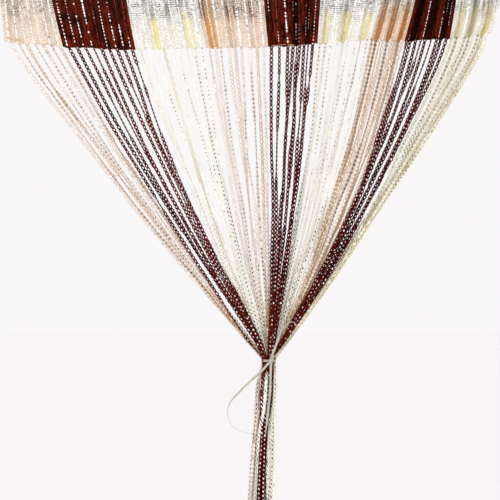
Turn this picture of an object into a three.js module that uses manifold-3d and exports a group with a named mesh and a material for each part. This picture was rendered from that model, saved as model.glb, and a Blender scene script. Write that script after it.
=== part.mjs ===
// A string curtain, gathered and tied: a knitted heading in nine colour blocks, its fringe of strings
// as one comb, and the narrow tape that ties the strings together. Millimetres, +Z up. The origin is
// the middle of the heading's top edge, +X runs along the heading and -Y faces the room.

import * as THREE from "three";
import { mergeVertices } from "three/addons/utils/BufferGeometryUtils.js";
import Module from "manifold-3d";

const FLAT_WIDTH = 900; // the heading laid flat
const CLOTH_THICKNESS = 1.2;
const STRING_LENGTH = 1913; // hem to cut end, the same for every string
const STRING_WIDTH = 3.6; // lying flat at the hem
const STRING_EDGE_WIDTH = 1.4; // turned edge-on where the strings close up above the waist
const STRING_THICKNESS = 1.2;

// The heading's borders from left to right, where one colour block ends and the next begins.
// topX, topZ: the border on the top edge. hemX, hemZ: the border on the hem. lean: 1 runs straight
// from top to hem, more turns late. bow: how far the strings there swing out to the right half way
// to the waist.
const BORDERS = [
  { topX: -321, topZ: 3, hemX: -314, hemZ: -74, lean: 1.2, bow: -11 },
  { topX: -257, topZ: 0, hemX: -239, hemZ: -80, lean: 1.2, bow: -9 },
  { topX: -160, topZ: -1, hemX: -146, hemZ: -84, lean: 1.2, bow: -10 },
  { topX: -72, topZ: 0, hemX: -56, hemZ: -81, lean: 1.2, bow: -6 },
  { topX: 17, topZ: 0, hemX: 24, hemZ: -80, lean: 1.2, bow: 1 },
  { topX: 92, topZ: 2, hemX: 87, hemZ: -75, lean: 1.2, bow: 5 },
  { topX: 174, topZ: 4, hemX: 156, hemZ: -70, lean: 1.2, bow: 13 },
  { topX: 217, topZ: 3, hemX: 199, hemZ: -72, lean: 1.2, bow: 20 },
  { topX: 268, topZ: 5, hemX: 257, hemZ: -69, lean: 1.2, bow: 18 },
  { topX: 321, topZ: 6, hemX: 309, hemZ: -63, lean: 3, bow: 11 },
];

// The colour blocks from left to right. strings: how many hang from the block. neckX, neckY: where
// they close up at the waist, as shares of its half sizes. bundleX, bundleY: the same, further down.
const BLOCKS = [
  { strings: 7, neckX: -0.8, neckY: -0.1, bundleX: -0.66, bundleY: -0.4 },
  { strings: 9, neckX: -0.5, neckY: -0.5, bundleX: -0.2, bundleY: -0.62 },
  { strings: 9, neckX: -0.25, neckY: 0.1, bundleX: -0.3, bundleY: 0.1 },
  { strings: 9, neckX: -0.05, neckY: 0.5, bundleX: -0.62, bundleY: 0.42 },
  { strings: 9, neckX: 0.2, neckY: -0.5, bundleX: 0.18, bundleY: -0.5 },
  { strings: 9, neckX: 0.3, neckY: 0.2, bundleX: 0.66, bundleY: 0.25 },
  { strings: 9, neckX: 0.42, neckY: 0.5, bundleX: 0.32, bundleY: 0.62 },
  { strings: 9, neckX: 0.4, neckY: -0.4, bundleX: -0.12, bundleY: 0.66 },
  { strings: 9, neckX: 0.85, neckY: 0, bundleX: 0.66, bundleY: -0.4 },
];

// The heading's folds. block: which colour block. at, width: centre and width, as shares of the
// block's gathered width. depth: share of the block's deepest fold, minus towards the room.
const FOLDS = [
  { block: 0, at: 0.24, width: 0.4, depth: 0.7 },
  { block: 0, at: 0.72, width: 0.5, depth: -1 },
  { block: 1, at: 0.22, width: 0.34, depth: 0.8 },
  { block: 1, at: 0.56, width: 0.26, depth: 1 },
  { block: 1, at: 0.84, width: 0.24, depth: 0.9 },
  { block: 2, at: 0.12, width: 0.24, depth: -0.5 },
  { block: 2, at: 0.35, width: 0.22, depth: 1 },
  { block: 2, at: 0.6, width: 0.2, depth: 0.8 },
  { block: 2, at: 0.88, width: 0.22, depth: 0.9 },
  { block: 3, at: 0.13, width: 0.26, depth: 1 },
  { block: 3, at: 0.46, width: 0.26, depth: 0.75 },
  { block: 3, at: 0.8, width: 0.32, depth: 0.6 },
  { block: 4, at: 0.08, width: 0.16, depth: 0.25 },
  { block: 4, at: 0.57, width: 0.22, depth: 1 },
  { block: 4, at: 0.79, width: 0.2, depth: 0.8 },
  { block: 5, at: 0.12, width: 0.24, depth: 0.8 },
  { block: 5, at: 0.46, width: 0.3, depth: 1 },
  { block: 5, at: 0.84, width: 0.28, depth: 0.8 },
  { block: 6, at: 0.16, width: 0.32, depth: 0.9 },
  { block: 6, at: 0.49, width: 0.34, depth: 1 },
  { block: 6, at: 0.83, width: 0.34, depth: 0.9 },
  { block: 7, at: 0.18, width: 0.34, depth: 1 },
  { block: 7, at: 0.52, width: 0.34, depth: 0.8 },
  { block: 7, at: 0.84, width: 0.3, depth: 0.8 },
  { block: 8, at: 0.16, width: 0.3, depth: 0.7 },
  { block: 8, at: 0.47, width: 0.3, depth: 1 },
  { block: 8, at: 0.8, width: 0.34, depth: 0.9 },
];

// The tied bundle, from where the strings close up above the waist down to where they part into
// their cut ends. x: centre. halfWidth, halfDepth: its section.
const WAIST_Z = -482;
const BUNDLE_TOP = WAIST_Z + 52;
const BUNDLE_END = -1850;
const BUNDLE = [
  { z: BUNDLE_TOP, x: 19.5, halfWidth: 48, halfDepth: 9 },
  { z: WAIST_Z + 28, x: 22.8, halfWidth: 31, halfDepth: 9.5 },
  { z: WAIST_Z + 14, x: 24.2, halfWidth: 20, halfDepth: 10 },
  { z: WAIST_Z + 3, x: 24.5, halfWidth: 8.6, halfDepth: 11 },
  { z: WAIST_Z - 4, x: 24.5, halfWidth: 8.6, halfDepth: 11 },
  { z: WAIST_Z - 28, x: 22.5, halfWidth: 13, halfDepth: 11 },
  { z: WAIST_Z - 106, x: 19, halfWidth: 15.5, halfDepth: 11 },
  { z: WAIST_Z - 178, x: 15.5, halfWidth: 17.5, halfDepth: 11.5 },
  { z: -760, x: 13, halfWidth: 18.5, halfDepth: 11.8 },
  { z: -900, x: 12, halfWidth: 19, halfDepth: 12 },
  { z: -1100, x: 12.5, halfWidth: 19.5, halfDepth: 12.4 },
  { z: -1300, x: 12, halfWidth: 20, halfDepth: 12.8 },
  { z: -1500, x: 11.5, halfWidth: 20.3, halfDepth: 13.2 },
  { z: -1700, x: 12, halfWidth: 20.6, halfDepth: 13.6 },
  { z: BUNDLE_END, x: 12, halfWidth: 21, halfDepth: 14 },
];
const BUNDLE_SIDES = 16;
const FLUTES = 6; // soft ridges down the bundle, where the blocks' strings lie side by side
const FLUTE_DEPTH = 0.06; // share of the bundle's radius
const FLUTE_TURN = 0.3; // how far the ridges wind from one row of the table to the next, in radians

const STRING_STEPS = 2; // straight pieces in a string's way from hem to bundle
const NECK_Z = WAIST_Z + 3; // where a string's line from the hem ends, just above the tie
const NECK_SPREAD = 0.1; // of one block's strings there, as a share of the bundle's half sizes
const STRING_INSET = 5; // how far a string runs on inside the bundle's top
const SPINE_HEIGHT = 2.4; // the comb's strip along the hem
const SPINE_DROP = 0.45; // below the hem, so that the gap holds where the hem slopes
const END_STRANDS = 3; // cut ends to a block, each of three strings or so
const STRAND_SPREAD = 0.2; // of a block's cut ends, as a share of the bundle's half sizes
const STRAND_WIDTH = 6;
const STRAND_THICKNESS = 3;
const STRAND_INSET = 20; // how far up inside the bundle's foot a strand starts
const STRAND_TURN = 0.7; // from one strand of a block to the next, in radians

const COLUMNS_PER_STRING = 2;
const HEADING_ROWS = 3;
const SAMPLES_PER_BLOCK = 72;
const DEPTH_TOLERANCE = 1e-4; // of a fold's depth, when the folds are fitted to the cloth
const WELD_DISTANCE = 1e-3; // between vertices taken as one when solids are joined

// The tie: a narrow tape round the waist, knotted in front.
const TAPE_RADIUS = 1.5;
const TAPE_SIDES = 8;
const TAPE_STEP = 8;
const WRAP_GAP = 0.4; // round the waist, so that the ring's flat facets keep clear of it
const WRAP_HEIGHT = 3.6;
const WRAP_THICKNESS = 1.2;
const WRAP_SIDES = 28;
const KNOT = { x: 27.5, y: -13.2, halfWidth: 3.6, halfDepth: 2.2, halfHeight: 3.2 };
const KNOT_SIDES = 12;
const KNOT_ROWS = 8;

// Routes of the tape's loose stretches, from the knot outwards.
const LOOP_ROUTE = [
  [27.4, -13.9, -478.1],
  [29.8, -14.6, -472.2],
  [32.8, -14.4, -464.4],
  [36.2, -13.8, -455.4],
  [39.4, -12.8, -447.2],
  [43.0, -11.8, -440.2],
  [47.8, -10.8, -435.2],
  [52.8, -10.2, -432.6],
  [57.2, -10.2, -433.2],
  [59.4, -10.6, -437.0],
  [58.6, -11.2, -442.8],
  [55.4, -12.0, -449.2],
  [50.6, -12.8, -455.8],
  [44.8, -13.6, -462.4],
  [38.6, -14.4, -469.6],
  [32.6, -14.6, -476.6],
];
const LEFT_END_ROUTE = [
  [24.1, -14.4, -484.9],
  [18.2, -13.9, -491.8],
  [12.4, -13.0, -497.8],
  [5.8, -12.0, -503.8],
  [-1.0, -11.2, -509.8],
  [-7.6, -10.6, -516.2],
  [-13.8, -10.0, -523.0],
  [-20.0, -9.4, -529.2],
  [-25.0, -8.8, -536.2],
  [-27.8, -8.2, -544.8],
  [-27.4, -7.6, -554.0],
  [-23.8, -7.0, -562.8],
  [-17.8, -6.4, -569.2],
  [-9.8, -5.8, -573.0],
  [-1.8, -5.4, -574.8],
  [4.6, -5.2, -575.6],
];
const TAIL_END_ROUTE = [
  [27.4, -13.8, -485.7],
  [27.1, -13.4, -492.0],
  [26.8, -13.0, -500.0],
  [26.6, -12.5, -508.0],
  [26.3, -12.5, -516.0],
  [25.9, -12.5, -524.0],
  [25.2, -12.5, -532.0],
  [24.3, -12.5, -540.0],
  [23.4, -12.5, -548.0],
  [22.6, -12.5, -556.0],
  [21.8, -12.5, -564.0],
  [20.8, -12.5, -572.0],
  [20.2, -12.5, -579.0],
];

const wasm = await Module();
wasm.setup();

const stringTotal = BLOCKS.reduce((sum, block) => sum + block.strings, 0);
const stringPitch = FLAT_WIDTH / stringTotal;

// Each border's place along the flat heading.
const borderPlaces = BORDERS.map((_, index) =>
  stringPitch * BLOCKS.slice(0, index).reduce((sum, block) => sum + block.strings, 0));

/** Reads one column of a table at a place between its rows, in proportion. */
function between(places, rows, column, place) {
  const after = places.findIndex((value, index) => index > 0 && place <= value);
  const index = after < 0 ? places.length - 1 : after;
  const share = (place - places[index - 1]) / (places[index] - places[index - 1]);
  return THREE.MathUtils.lerp(rows[index - 1][column], rows[index][column], share);
}

/** Height of one smooth fold at a share of its block's width: 1 at its centre, 0 at both feet. */
function foldHeight(fold, share) {
  const away = (share - fold.at) / fold.width;
  return Math.abs(away) < 0.5 ? Math.cos(Math.PI * away) ** 2 : 0;
}

/** One block's section seen from above, with its folds as deep as given. */
function blockSection(block, startX, endX, depth) {
  const folds = FOLDS.filter((fold) => fold.block === block);
  const points = [];
  for (let i = 0; i <= SAMPLES_PER_BLOCK; i += 1) {
    const share = i / SAMPLES_PER_BLOCK;
    const height = folds.reduce((sum, fold) => sum + fold.depth * foldHeight(fold, share), 0);
    points.push(new THREE.Vector2(THREE.MathUtils.lerp(startX, endX, share), depth * height));
  }
  return points;
}

/** Length along a row of points. */
function lengthOf(points) {
  return points.slice(1).reduce((sum, point, index) => sum + point.distanceTo(points[index]), 0);
}

/** One block's section with folds just deep enough to take up the block's cloth. */
function gatheredSection(block, startX, endX) {
  const cloth = BLOCKS[block].strings * stringPitch;
  let shallow = 0;
  let deep = cloth;
  while (deep - shallow > DEPTH_TOLERANCE) {
    const middle = (shallow + deep) / 2;
    if (lengthOf(blockSection(block, startX, endX, middle)) < cloth) shallow = middle;
    else deep = middle;
  }
  return blockSection(block, startX, endX, shallow);
}

/** The whole heading's section at its top edge or its hem, with each point's place on the cloth. */
function headingSection(columnX) {
  const section = [{ place: 0, point: new THREE.Vector2(BORDERS[0][columnX], 0) }];
  for (let block = 0; block < BLOCKS.length; block += 1) {
    const points = gatheredSection(block, BORDERS[block][columnX], BORDERS[block + 1][columnX]);
    const stretch = (borderPlaces[block + 1] - borderPlaces[block]) / lengthOf(points);
    for (let i = 1; i < points.length; i += 1) {
      const step = stretch * points[i].distanceTo(points[i - 1]);
      section.push({ place: section[section.length - 1].place + step, point: points[i] });
    }
  }
  return section;
}

/** The point and the way the cloth runs at a place along a section. */
function onSection(section, place) {
  let high = section.findIndex((entry, index) => index > 0 && place <= entry.place);
  if (high < 0) high = section.length - 1;
  const from = section[high - 1];
  const to = section[high];
  const share = (place - from.place) / (to.place - from.place);
  const ahead = section[Math.min(high + 1, section.length - 1)].point;
  const behind = section[Math.max(high - 2, 0)].point;
  return {
    point: from.point.clone().lerp(to.point, share),
    run: ahead.clone().sub(behind).normalize(),
  };
}

const topSection = headingSection("topX");
const hemSection = headingSection("hemX");

/** A point of the heading's cloth: its place across, its share of the way down, and how far behind. */
function onHeading(place, down, behind) {
  const lean = down ** between(borderPlaces, BORDERS, "lean", place);
  const top = onSection(topSection, place);
  const hem = onSection(hemSection, place);
  const point = top.point.lerp(hem.point, lean);
  const run = top.run.lerp(hem.run, lean).normalize();
  const topZ = between(borderPlaces, BORDERS, "topZ", place);
  const hemZ = between(borderPlaces, BORDERS, "hemZ", place);
  return {
    point: new THREE.Vector3(
      point.x - run.y * behind,
      point.y + run.x * behind,
      THREE.MathUtils.lerp(topZ, hemZ, down),
    ),
    run: new THREE.Vector3(run.x, run.y, 0),
  };
}

/** Moves every vertex of a plain geometry to where a function puts it. */
function bend(geometry, move) {
  const positions = geometry.getAttribute("position");
  for (let i = 0; i < positions.count; i += 1) {
    const moved = move(positions.getX(i), positions.getY(i), positions.getZ(i));
    positions.setXYZ(i, moved.x, moved.y, moved.z);
  }
  return geometry;
}

/** The knitted heading: one folded sheet from top edge to hem. */
function headingGeometry() {
  const columns = stringTotal * COLUMNS_PER_STRING;
  const flat = new THREE.BoxGeometry(FLAT_WIDTH, CLOTH_THICKNESS, 1, columns, 1, HEADING_ROWS);
  return bend(flat, (x, y, z) => onHeading(x + FLAT_WIDTH / 2, 0.5 - z, y).point);
}

/** The comb's strip along the hem, which every string grows from. */
function spineGeometry() {
  const flat = new THREE.BoxGeometry(FLAT_WIDTH, CLOTH_THICKNESS, SPINE_HEIGHT, stringTotal, 1, 1);
  return bend(flat, (x, y, z) => {
    const { point } = onHeading(x + FLAT_WIDTH / 2, 1, y);
    point.z += z - SPINE_HEIGHT / 2 - SPINE_DROP;
    return point;
  });
}

const bundlePlaces = BUNDLE.map((row) => BUNDLE[0].z - row.z);

/** The bundle's section at a height. */
function bundleAt(z) {
  const read = (column) => between(bundlePlaces, BUNDLE, column, BUNDLE[0].z - z);
  return { x: read("x"), halfWidth: read("halfWidth"), halfDepth: read("halfDepth") };
}

/** A place in the bundle at a height: x and y as shares of its half sizes, then spread round them. */
function inBundle(x, y, z, spread, angle) {
  const section = bundleAt(z);
  return new THREE.Vector3(
    section.x + section.halfWidth * (x + spread * Math.cos(angle)),
    section.halfDepth * (y + spread * Math.sin(angle)),
    z,
  );
}

/** One string's line from the hem to the waist. */
function stringLine(block, place, index) {
  const hem = onHeading(place, 1, 0);
  const start = hem.point.clone();
  start.z -= SPINE_DROP + SPINE_HEIGHT / 2;
  const angle = (2 * Math.PI * index) / block.strings;
  const neck = inBundle(block.neckX, block.neckY, NECK_Z, NECK_SPREAD, angle);
  return { start, neck, run: hem.run, bow: between(borderPlaces, BORDERS, "bow", place) };
}

/** One string from the hem to inside the bundle's top: a flat strip on a slightly bowed line. */
function stringGeometry(line) {
  const flat = new THREE.BoxGeometry(1, STRING_THICKNESS, 1, 1, 1, STRING_STEPS);
  const way = line.neck.clone().sub(line.start);
  const reach = (BUNDLE_TOP - STRING_INSET - line.start.z) / way.z;
  return bend(flat, (x, y, z) => {
    const down = reach * (0.5 - z);
    const width = THREE.MathUtils.lerp(STRING_WIDTH, STRING_EDGE_WIDTH, down / reach);
    const middle = line.start.clone().addScaledVector(way, down);
    middle.x += line.bow * 4 * down * (1 - down);
    const up = way.clone().negate().normalize();
    const across = line.run.clone().lerp(new THREE.Vector3(1, 0, 0), down);
    across.addScaledVector(up, -across.dot(up)).normalize();
    const behind = up.clone().cross(across);
    return middle.addScaledVector(across, width * x).addScaledVector(behind, y);
  });
}

/** The tied bundle: a closed round form with one section for each row of its table, softly fluted. */
function bundleGeometry() {
  const last = BUNDLE.length - 1;
  const round = new THREE.CylinderGeometry(1, 1, 1, BUNDLE_SIDES, last);
  round.rotateX(Math.PI / 2);
  return bend(round, (x, y, z) => {
    const row = Math.round(last * (0.5 - z));
    const section = BUNDLE[row];
    const angle = FLUTES * Math.atan2(y, x) + FLUTE_TURN * row;
    const flute = 1 - FLUTE_DEPTH * (1 - Math.cos(angle));
    return new THREE.Vector3(
      section.x + section.halfWidth * x * flute,
      section.halfDepth * y * flute,
      section.z,
    );
  });
}

/** Height of a string's cut end: its length less its slanting way to the waist. */
function endHeight(line) {
  return WAIST_Z - (STRING_LENGTH - line.start.distanceTo(line.neck));
}

/** One strand of cut ends, from inside the bundle's foot to the ends of its strings. */
function strandGeometry(block, number, end) {
  const top = BUNDLE_END + STRAND_INSET;
  const angle = (2 * Math.PI * number) / END_STRANDS;
  const middle = inBundle(block.bundleX, block.bundleY, BUNDLE_END, STRAND_SPREAD, angle);
  const strand = new THREE.BoxGeometry(STRAND_WIDTH, STRAND_THICKNESS, top - end);
  strand.rotateZ(STRAND_TURN * number);
  strand.translate(middle.x, middle.y, (top + end) / 2);
  return strand;
}

/** A closed geometry as a solid that can be joined. */
function solidOf(geometry) {
  const bare = geometry.clone();
  bare.deleteAttribute("normal");
  bare.deleteAttribute("uv");
  const merged = mergeVertices(bare, WELD_DISTANCE);
  return new wasm.Manifold(new wasm.Mesh({
    numProp: 3,
    vertProperties: merged.getAttribute("position").array,
    triVerts: new Uint32Array(merged.index.array),
  }));
}

/** Several overlapping geometries joined into one, with the pockets sealed between them filled. */
function joined(geometries) {
  const shells = wasm.Manifold.union(geometries.map(solidOf)).decompose();
  shells.sort((one, other) => other.volume() - one.volume());
  const mesh = shells[0].getMesh();
  const geometry = new THREE.BufferGeometry();
  geometry.setAttribute("position", new THREE.BufferAttribute(mesh.vertProperties, mesh.numProp));
  geometry.setIndex(new THREE.BufferAttribute(mesh.triVerts, 1));
  geometry.computeVertexNormals();
  return geometry;
}

/** The strings as one comb: spine, strings, bundle and cut ends. */
function combGeometry() {
  const pieces = [spineGeometry(), bundleGeometry()];
  BLOCKS.forEach((block, number) => {
    const lines = [];
    for (let i = 0; i < block.strings; i += 1) {
      lines.push(stringLine(block, borderPlaces[number] + stringPitch * (i + 0.5), i));
    }
    pieces.push(...lines.map(stringGeometry));
    for (let strand = 0; strand < END_STRANDS; strand += 1) {
      const line = lines[Math.floor(((strand + 0.5) * lines.length) / END_STRANDS)];
      pieces.push(strandGeometry(block, strand, endHeight(line)));
    }
  });
  return joined(pieces);
}

/** The tape's turn round the waist with the knot in front, as one solid. */
function wrapGeometry() {
  const waist = bundleAt(WAIST_Z);
  const inner = 1;
  const ring = new THREE.LatheGeometry([
    new THREE.Vector2(inner, -0.5),
    new THREE.Vector2(inner + 1, -0.5),
    new THREE.Vector2(inner + 1, 0.5),
    new THREE.Vector2(inner, 0.5),
    new THREE.Vector2(inner, -0.5),
  ], WRAP_SIDES);
  ring.rotateX(Math.PI / 2);
  bend(ring, (x, y, z) => {
    const out = Math.hypot(x, y);
    const reach = WRAP_GAP + WRAP_THICKNESS * (out - inner);
    return new THREE.Vector3(
      waist.x + (x / out) * (waist.halfWidth + reach),
      (y / out) * (waist.halfDepth + reach),
      WAIST_Z + WRAP_HEIGHT * z,
    );
  });
  const knot = new THREE.SphereGeometry(1, KNOT_SIDES, KNOT_ROWS);
  knot.scale(KNOT.halfWidth, KNOT.halfDepth, KNOT.halfHeight);
  knot.translate(KNOT.x, KNOT.y, WAIST_Z);
  return joined([ring, knot]);
}

/** One loose stretch of the tape: a plain tube along its route. */
function tapeGeometry(route) {
  const curve = new THREE.CatmullRomCurve3(route.map((point) => new THREE.Vector3(...point)));
  const section = new THREE.Shape();
  for (let i = 0; i < TAPE_SIDES; i += 1) {
    const angle = (2 * Math.PI * i) / TAPE_SIDES;
    const x = TAPE_RADIUS * Math.cos(angle);
    const y = TAPE_RADIUS * Math.sin(angle);
    if (i === 0) section.moveTo(x, y);
    else section.lineTo(x, y);
  }
  section.closePath();
  const steps = Math.round(curve.getLength() / TAPE_STEP);
  return new THREE.ExtrudeGeometry(section, { steps, extrudePath: curve, bevelEnabled: false });
}

/** A named piece with its own material. */
function piece(name, geometry, finish) {
  const mesh = new THREE.Mesh(geometry, new THREE.MeshStandardMaterial(finish));
  mesh.name = name;
  return mesh;
}

const KNIT = { color: 0xeadccb, roughness: 0.9, metalness: 0 };
const YARN = { color: 0x7a2818, roughness: 0.8, metalness: 0 };
const TAPE = { color: 0xb7b5a6, roughness: 0.6, metalness: 0 };

const tie = new THREE.Group();
tie.add(
  piece("tie_wrap", wrapGeometry(), TAPE),
  piece("tie_loop", tapeGeometry(LOOP_ROUTE), TAPE),
  piece("tie_end_left", tapeGeometry(LEFT_END_ROUTE), TAPE),
  piece("tie_end_tail", tapeGeometry(TAIL_END_ROUTE), TAPE),
);

const curtain = new THREE.Group();
curtain.add(
  piece("heading_band", headingGeometry(), KNIT),
  piece("string_comb", combGeometry(), YARN),
  tie,
);

export default curtain;
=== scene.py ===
"""A string curtain, gathered and tied: its looks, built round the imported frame.

Everything is in metres, +Z up. The origin is the middle of the heading's top edge, +X runs along
the heading and -Y faces the room. The curtain is one knitted heading in nine colour blocks, a fringe
of chain-stitched strings with a silver thread in them, and a narrow tape that ties the strings.
"""

import logging
import math
from dataclasses import dataclass, field
from enum import Enum
from functools import partial

import bpy
import numpy as np
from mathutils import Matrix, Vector


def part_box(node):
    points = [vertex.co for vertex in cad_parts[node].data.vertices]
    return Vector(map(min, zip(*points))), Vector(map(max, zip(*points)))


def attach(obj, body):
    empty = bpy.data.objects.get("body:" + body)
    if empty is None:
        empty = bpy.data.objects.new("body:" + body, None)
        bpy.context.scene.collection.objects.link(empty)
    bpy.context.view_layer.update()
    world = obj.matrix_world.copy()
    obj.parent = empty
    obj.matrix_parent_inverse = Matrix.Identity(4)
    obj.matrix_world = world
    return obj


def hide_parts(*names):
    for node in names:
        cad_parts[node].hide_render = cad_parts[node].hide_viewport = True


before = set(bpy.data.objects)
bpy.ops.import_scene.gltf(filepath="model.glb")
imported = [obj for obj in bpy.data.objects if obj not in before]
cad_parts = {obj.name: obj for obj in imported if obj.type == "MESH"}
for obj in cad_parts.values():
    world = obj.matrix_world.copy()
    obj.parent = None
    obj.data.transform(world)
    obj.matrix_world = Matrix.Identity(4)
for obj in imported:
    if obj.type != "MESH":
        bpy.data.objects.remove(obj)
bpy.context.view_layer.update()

log = logging.getLogger("string_curtain")

Array = np.ndarray
Pair = tuple[float, float]
Triple = tuple[float, float, float]
Route = tuple[Triple, ...]
MM = 0.001
SEED = 20

FLAT_WIDTH = 0.9  # the heading laid flat
HEADING_HEIGHT = 0.078
CLOTH_THICKNESS = 0.0012
STRING_LENGTH = 1.913  # hem to cut end
WAIST_X = 0.0245
WAIST_Z = -0.482
BUNDLE_END_Z = -1.85

# Settings that many shader nodes share.
COLOUR_MIX = {"output": 2, "data_type": "RGBA"}
SOFT_STEP = {"interpolation_type": "SMOOTHSTEP"}


class Yarn(Enum):
    """The three colours of the curtain's yarn."""

    BEIGE = "beige"
    BROWN = "brown"
    IVORY = "ivory"


@dataclass(frozen=True)
class Border:
    """A border between two colour blocks of the heading, or one of its two ends.

    Attributes:
        top_x: where the border meets the top edge, across.
        top_z: the same, up.
        hem_x: where it meets the hem, across.
        hem_z: the same, up.
        bow: how far the strings there swing out to the right half way to the waist.
        flare: how far they hang out to the right just under the hem.
        lean: 1 runs straight from top to hem, more turns late.
        gold: how much deeper than the rest of their block the strings there are.
    """

    top_x: float
    top_z: float
    hem_x: float
    hem_z: float
    bow: float
    flare: float = 0.0
    lean: float = 1.2
    gold: float = 0.0


BORDERS = (
    Border(-0.321, 0.003, -0.314, -0.074, -0.011, -0.004, gold=0.34),
    Border(-0.257, 0.0, -0.239, -0.08, -0.009),
    Border(-0.16, -0.001, -0.146, -0.084, -0.01),
    Border(-0.072, 0.0, -0.056, -0.081, -0.006),
    Border(0.017, 0.0, 0.024, -0.08, 0.001),
    Border(0.092, 0.002, 0.087, -0.075, 0.005),
    Border(0.174, 0.004, 0.156, -0.07, 0.013),
    Border(0.217, 0.003, 0.199, -0.072, 0.02),
    Border(0.268, 0.005, 0.257, -0.069, 0.018, 0.002),
    Border(0.321, 0.006, 0.309, -0.063, 0.011, 0.006, 3.0),
)


@dataclass(frozen=True)
class Block:
    """One colour block of the heading, with its strings.

    Attributes:
        name: the block's name.
        yarn: its colour.
        strings: how many strings it has.
        deepen: how much deeper than its yarn's usual colour its strings look.
        film: how much of the silver film in its strings shows, from 0 to 1.
        slots: where its strings run in the tied bundle, before and after each of SLOT_CHANGES:
            across and back, then how far they spread across and back, as shares of the
            bundle's half sizes.
        apart: whether its first string keeps apart from the others down to the tie.
    """

    name: str
    yarn: Yarn
    strings: int
    deepen: float
    film: float
    slots: tuple[tuple[float, float, float, float], ...]
    apart: bool = False


# The heights between which the strings change over from one slot to the next.
SLOT_CHANGES = ((WAIST_Z, -0.51), (-0.52, -0.59), (-0.7, -0.95))
BLOCKS = (
    Block("beige_left", Yarn.BEIGE, 7, 0.04, 0.6, (
        (-0.85, -0.1, 0.1, 0.3), (-0.82, -0.2, 0.1, 0.3),
        (-0.84, -0.25, 0.16, 0.35), (-0.78, -0.4, 0.24, 0.24),
    )),
    Block("brown_left", Yarn.BROWN, 9, 0.0, 1.0, (
        (-0.5, -0.65, 0.45, 0.2), (-0.42, -0.6, 0.06, 0.3),
        (-0.19, -0.6, 0.13, 0.3), (-0.24, -0.62, 0.24, 0.24),
    ), apart=True),
    Block("ivory_left", Yarn.IVORY, 9, 0.0, 0.5, (
        (-0.25, -0.1, 0.1, 0.3), (-0.08, -0.72, 0.08, 0.2),
        (-0.45, -0.45, 0.1, 0.3), (-0.3, 0.1, 0.24, 0.24),
    )),
    Block("beige_middle", Yarn.BEIGE, 9, 0.16, 0.6, (
        (-0.05, 0.3, 0.1, 0.3), (-0.3, 0.5, 0.1, 0.3),
        (-0.58, 0.0, 0.16, 0.3), (-0.52, -0.1, 0.2, 0.24),
    )),
    Block("brown_middle", Yarn.BROWN, 9, 0.05, 0.9, (
        (0.2, -0.65, 0.25, 0.2), (0.14, -0.45, 0.08, 0.3),
        (0.06, -0.62, 0.12, 0.3), (0.12, -0.5, 0.24, 0.24),
    )),
    Block("ivory_middle", Yarn.IVORY, 9, 0.15, 0.5, (
        (0.3, 0.2, 0.1, 0.3), (0.5, -0.2, 0.1, 0.3),
        (0.44, -0.42, 0.14, 0.3), (0.46, -0.4, 0.2, 0.24),
    )),
    Block("beige_right", Yarn.BEIGE, 9, 0.5, 0.75, (
        (0.42, 0.3, 0.1, 0.3), (0.4, 0.6, 0.1, 0.3),
        (0.25, 0.6, 0.25, 0.25), (0.32, 0.62, 0.24, 0.24),
    )),
    Block("brown_right", Yarn.BROWN, 9, 0.2, 0.85, (
        (0.4, -0.6, 0.12, 0.2), (0.38, -0.55, 0.05, 0.3),
        (0.0, 0.1, 0.2, 0.3), (-0.12, 0.66, 0.24, 0.24),
    )),
    Block("ivory_right", Yarn.IVORY, 9, 0.55, 0.6, (
        (0.85, -0.1, 0.1, 0.3), (0.7, -0.5, 0.14, 0.3),
        (0.68, -0.5, 0.24, 0.3), (0.74, -0.4, 0.24, 0.24),
    )),
)


@dataclass(frozen=True)
class Fold:
    """One fold of the heading.

    Attributes:
        block: which colour block it is in, from the left.
        at: its centre, as a share of the block's gathered width.
        width: its width, as the same share.
        depth: its share of the block's deepest fold, minus towards the room.
        tone: how strongly painted shade, in the knit's fold colour, shows in the fold's valley.
        start: how far down the heading that colour starts.
        end: how far down it ends.
        dusk: how strongly painted shadow shows in the fold's valley.
    """

    block: int
    at: float
    width: float
    depth: float
    tone: float = 0.0
    start: float = 0.0
    end: float = 1.1
    dusk: float = 0.0


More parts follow.
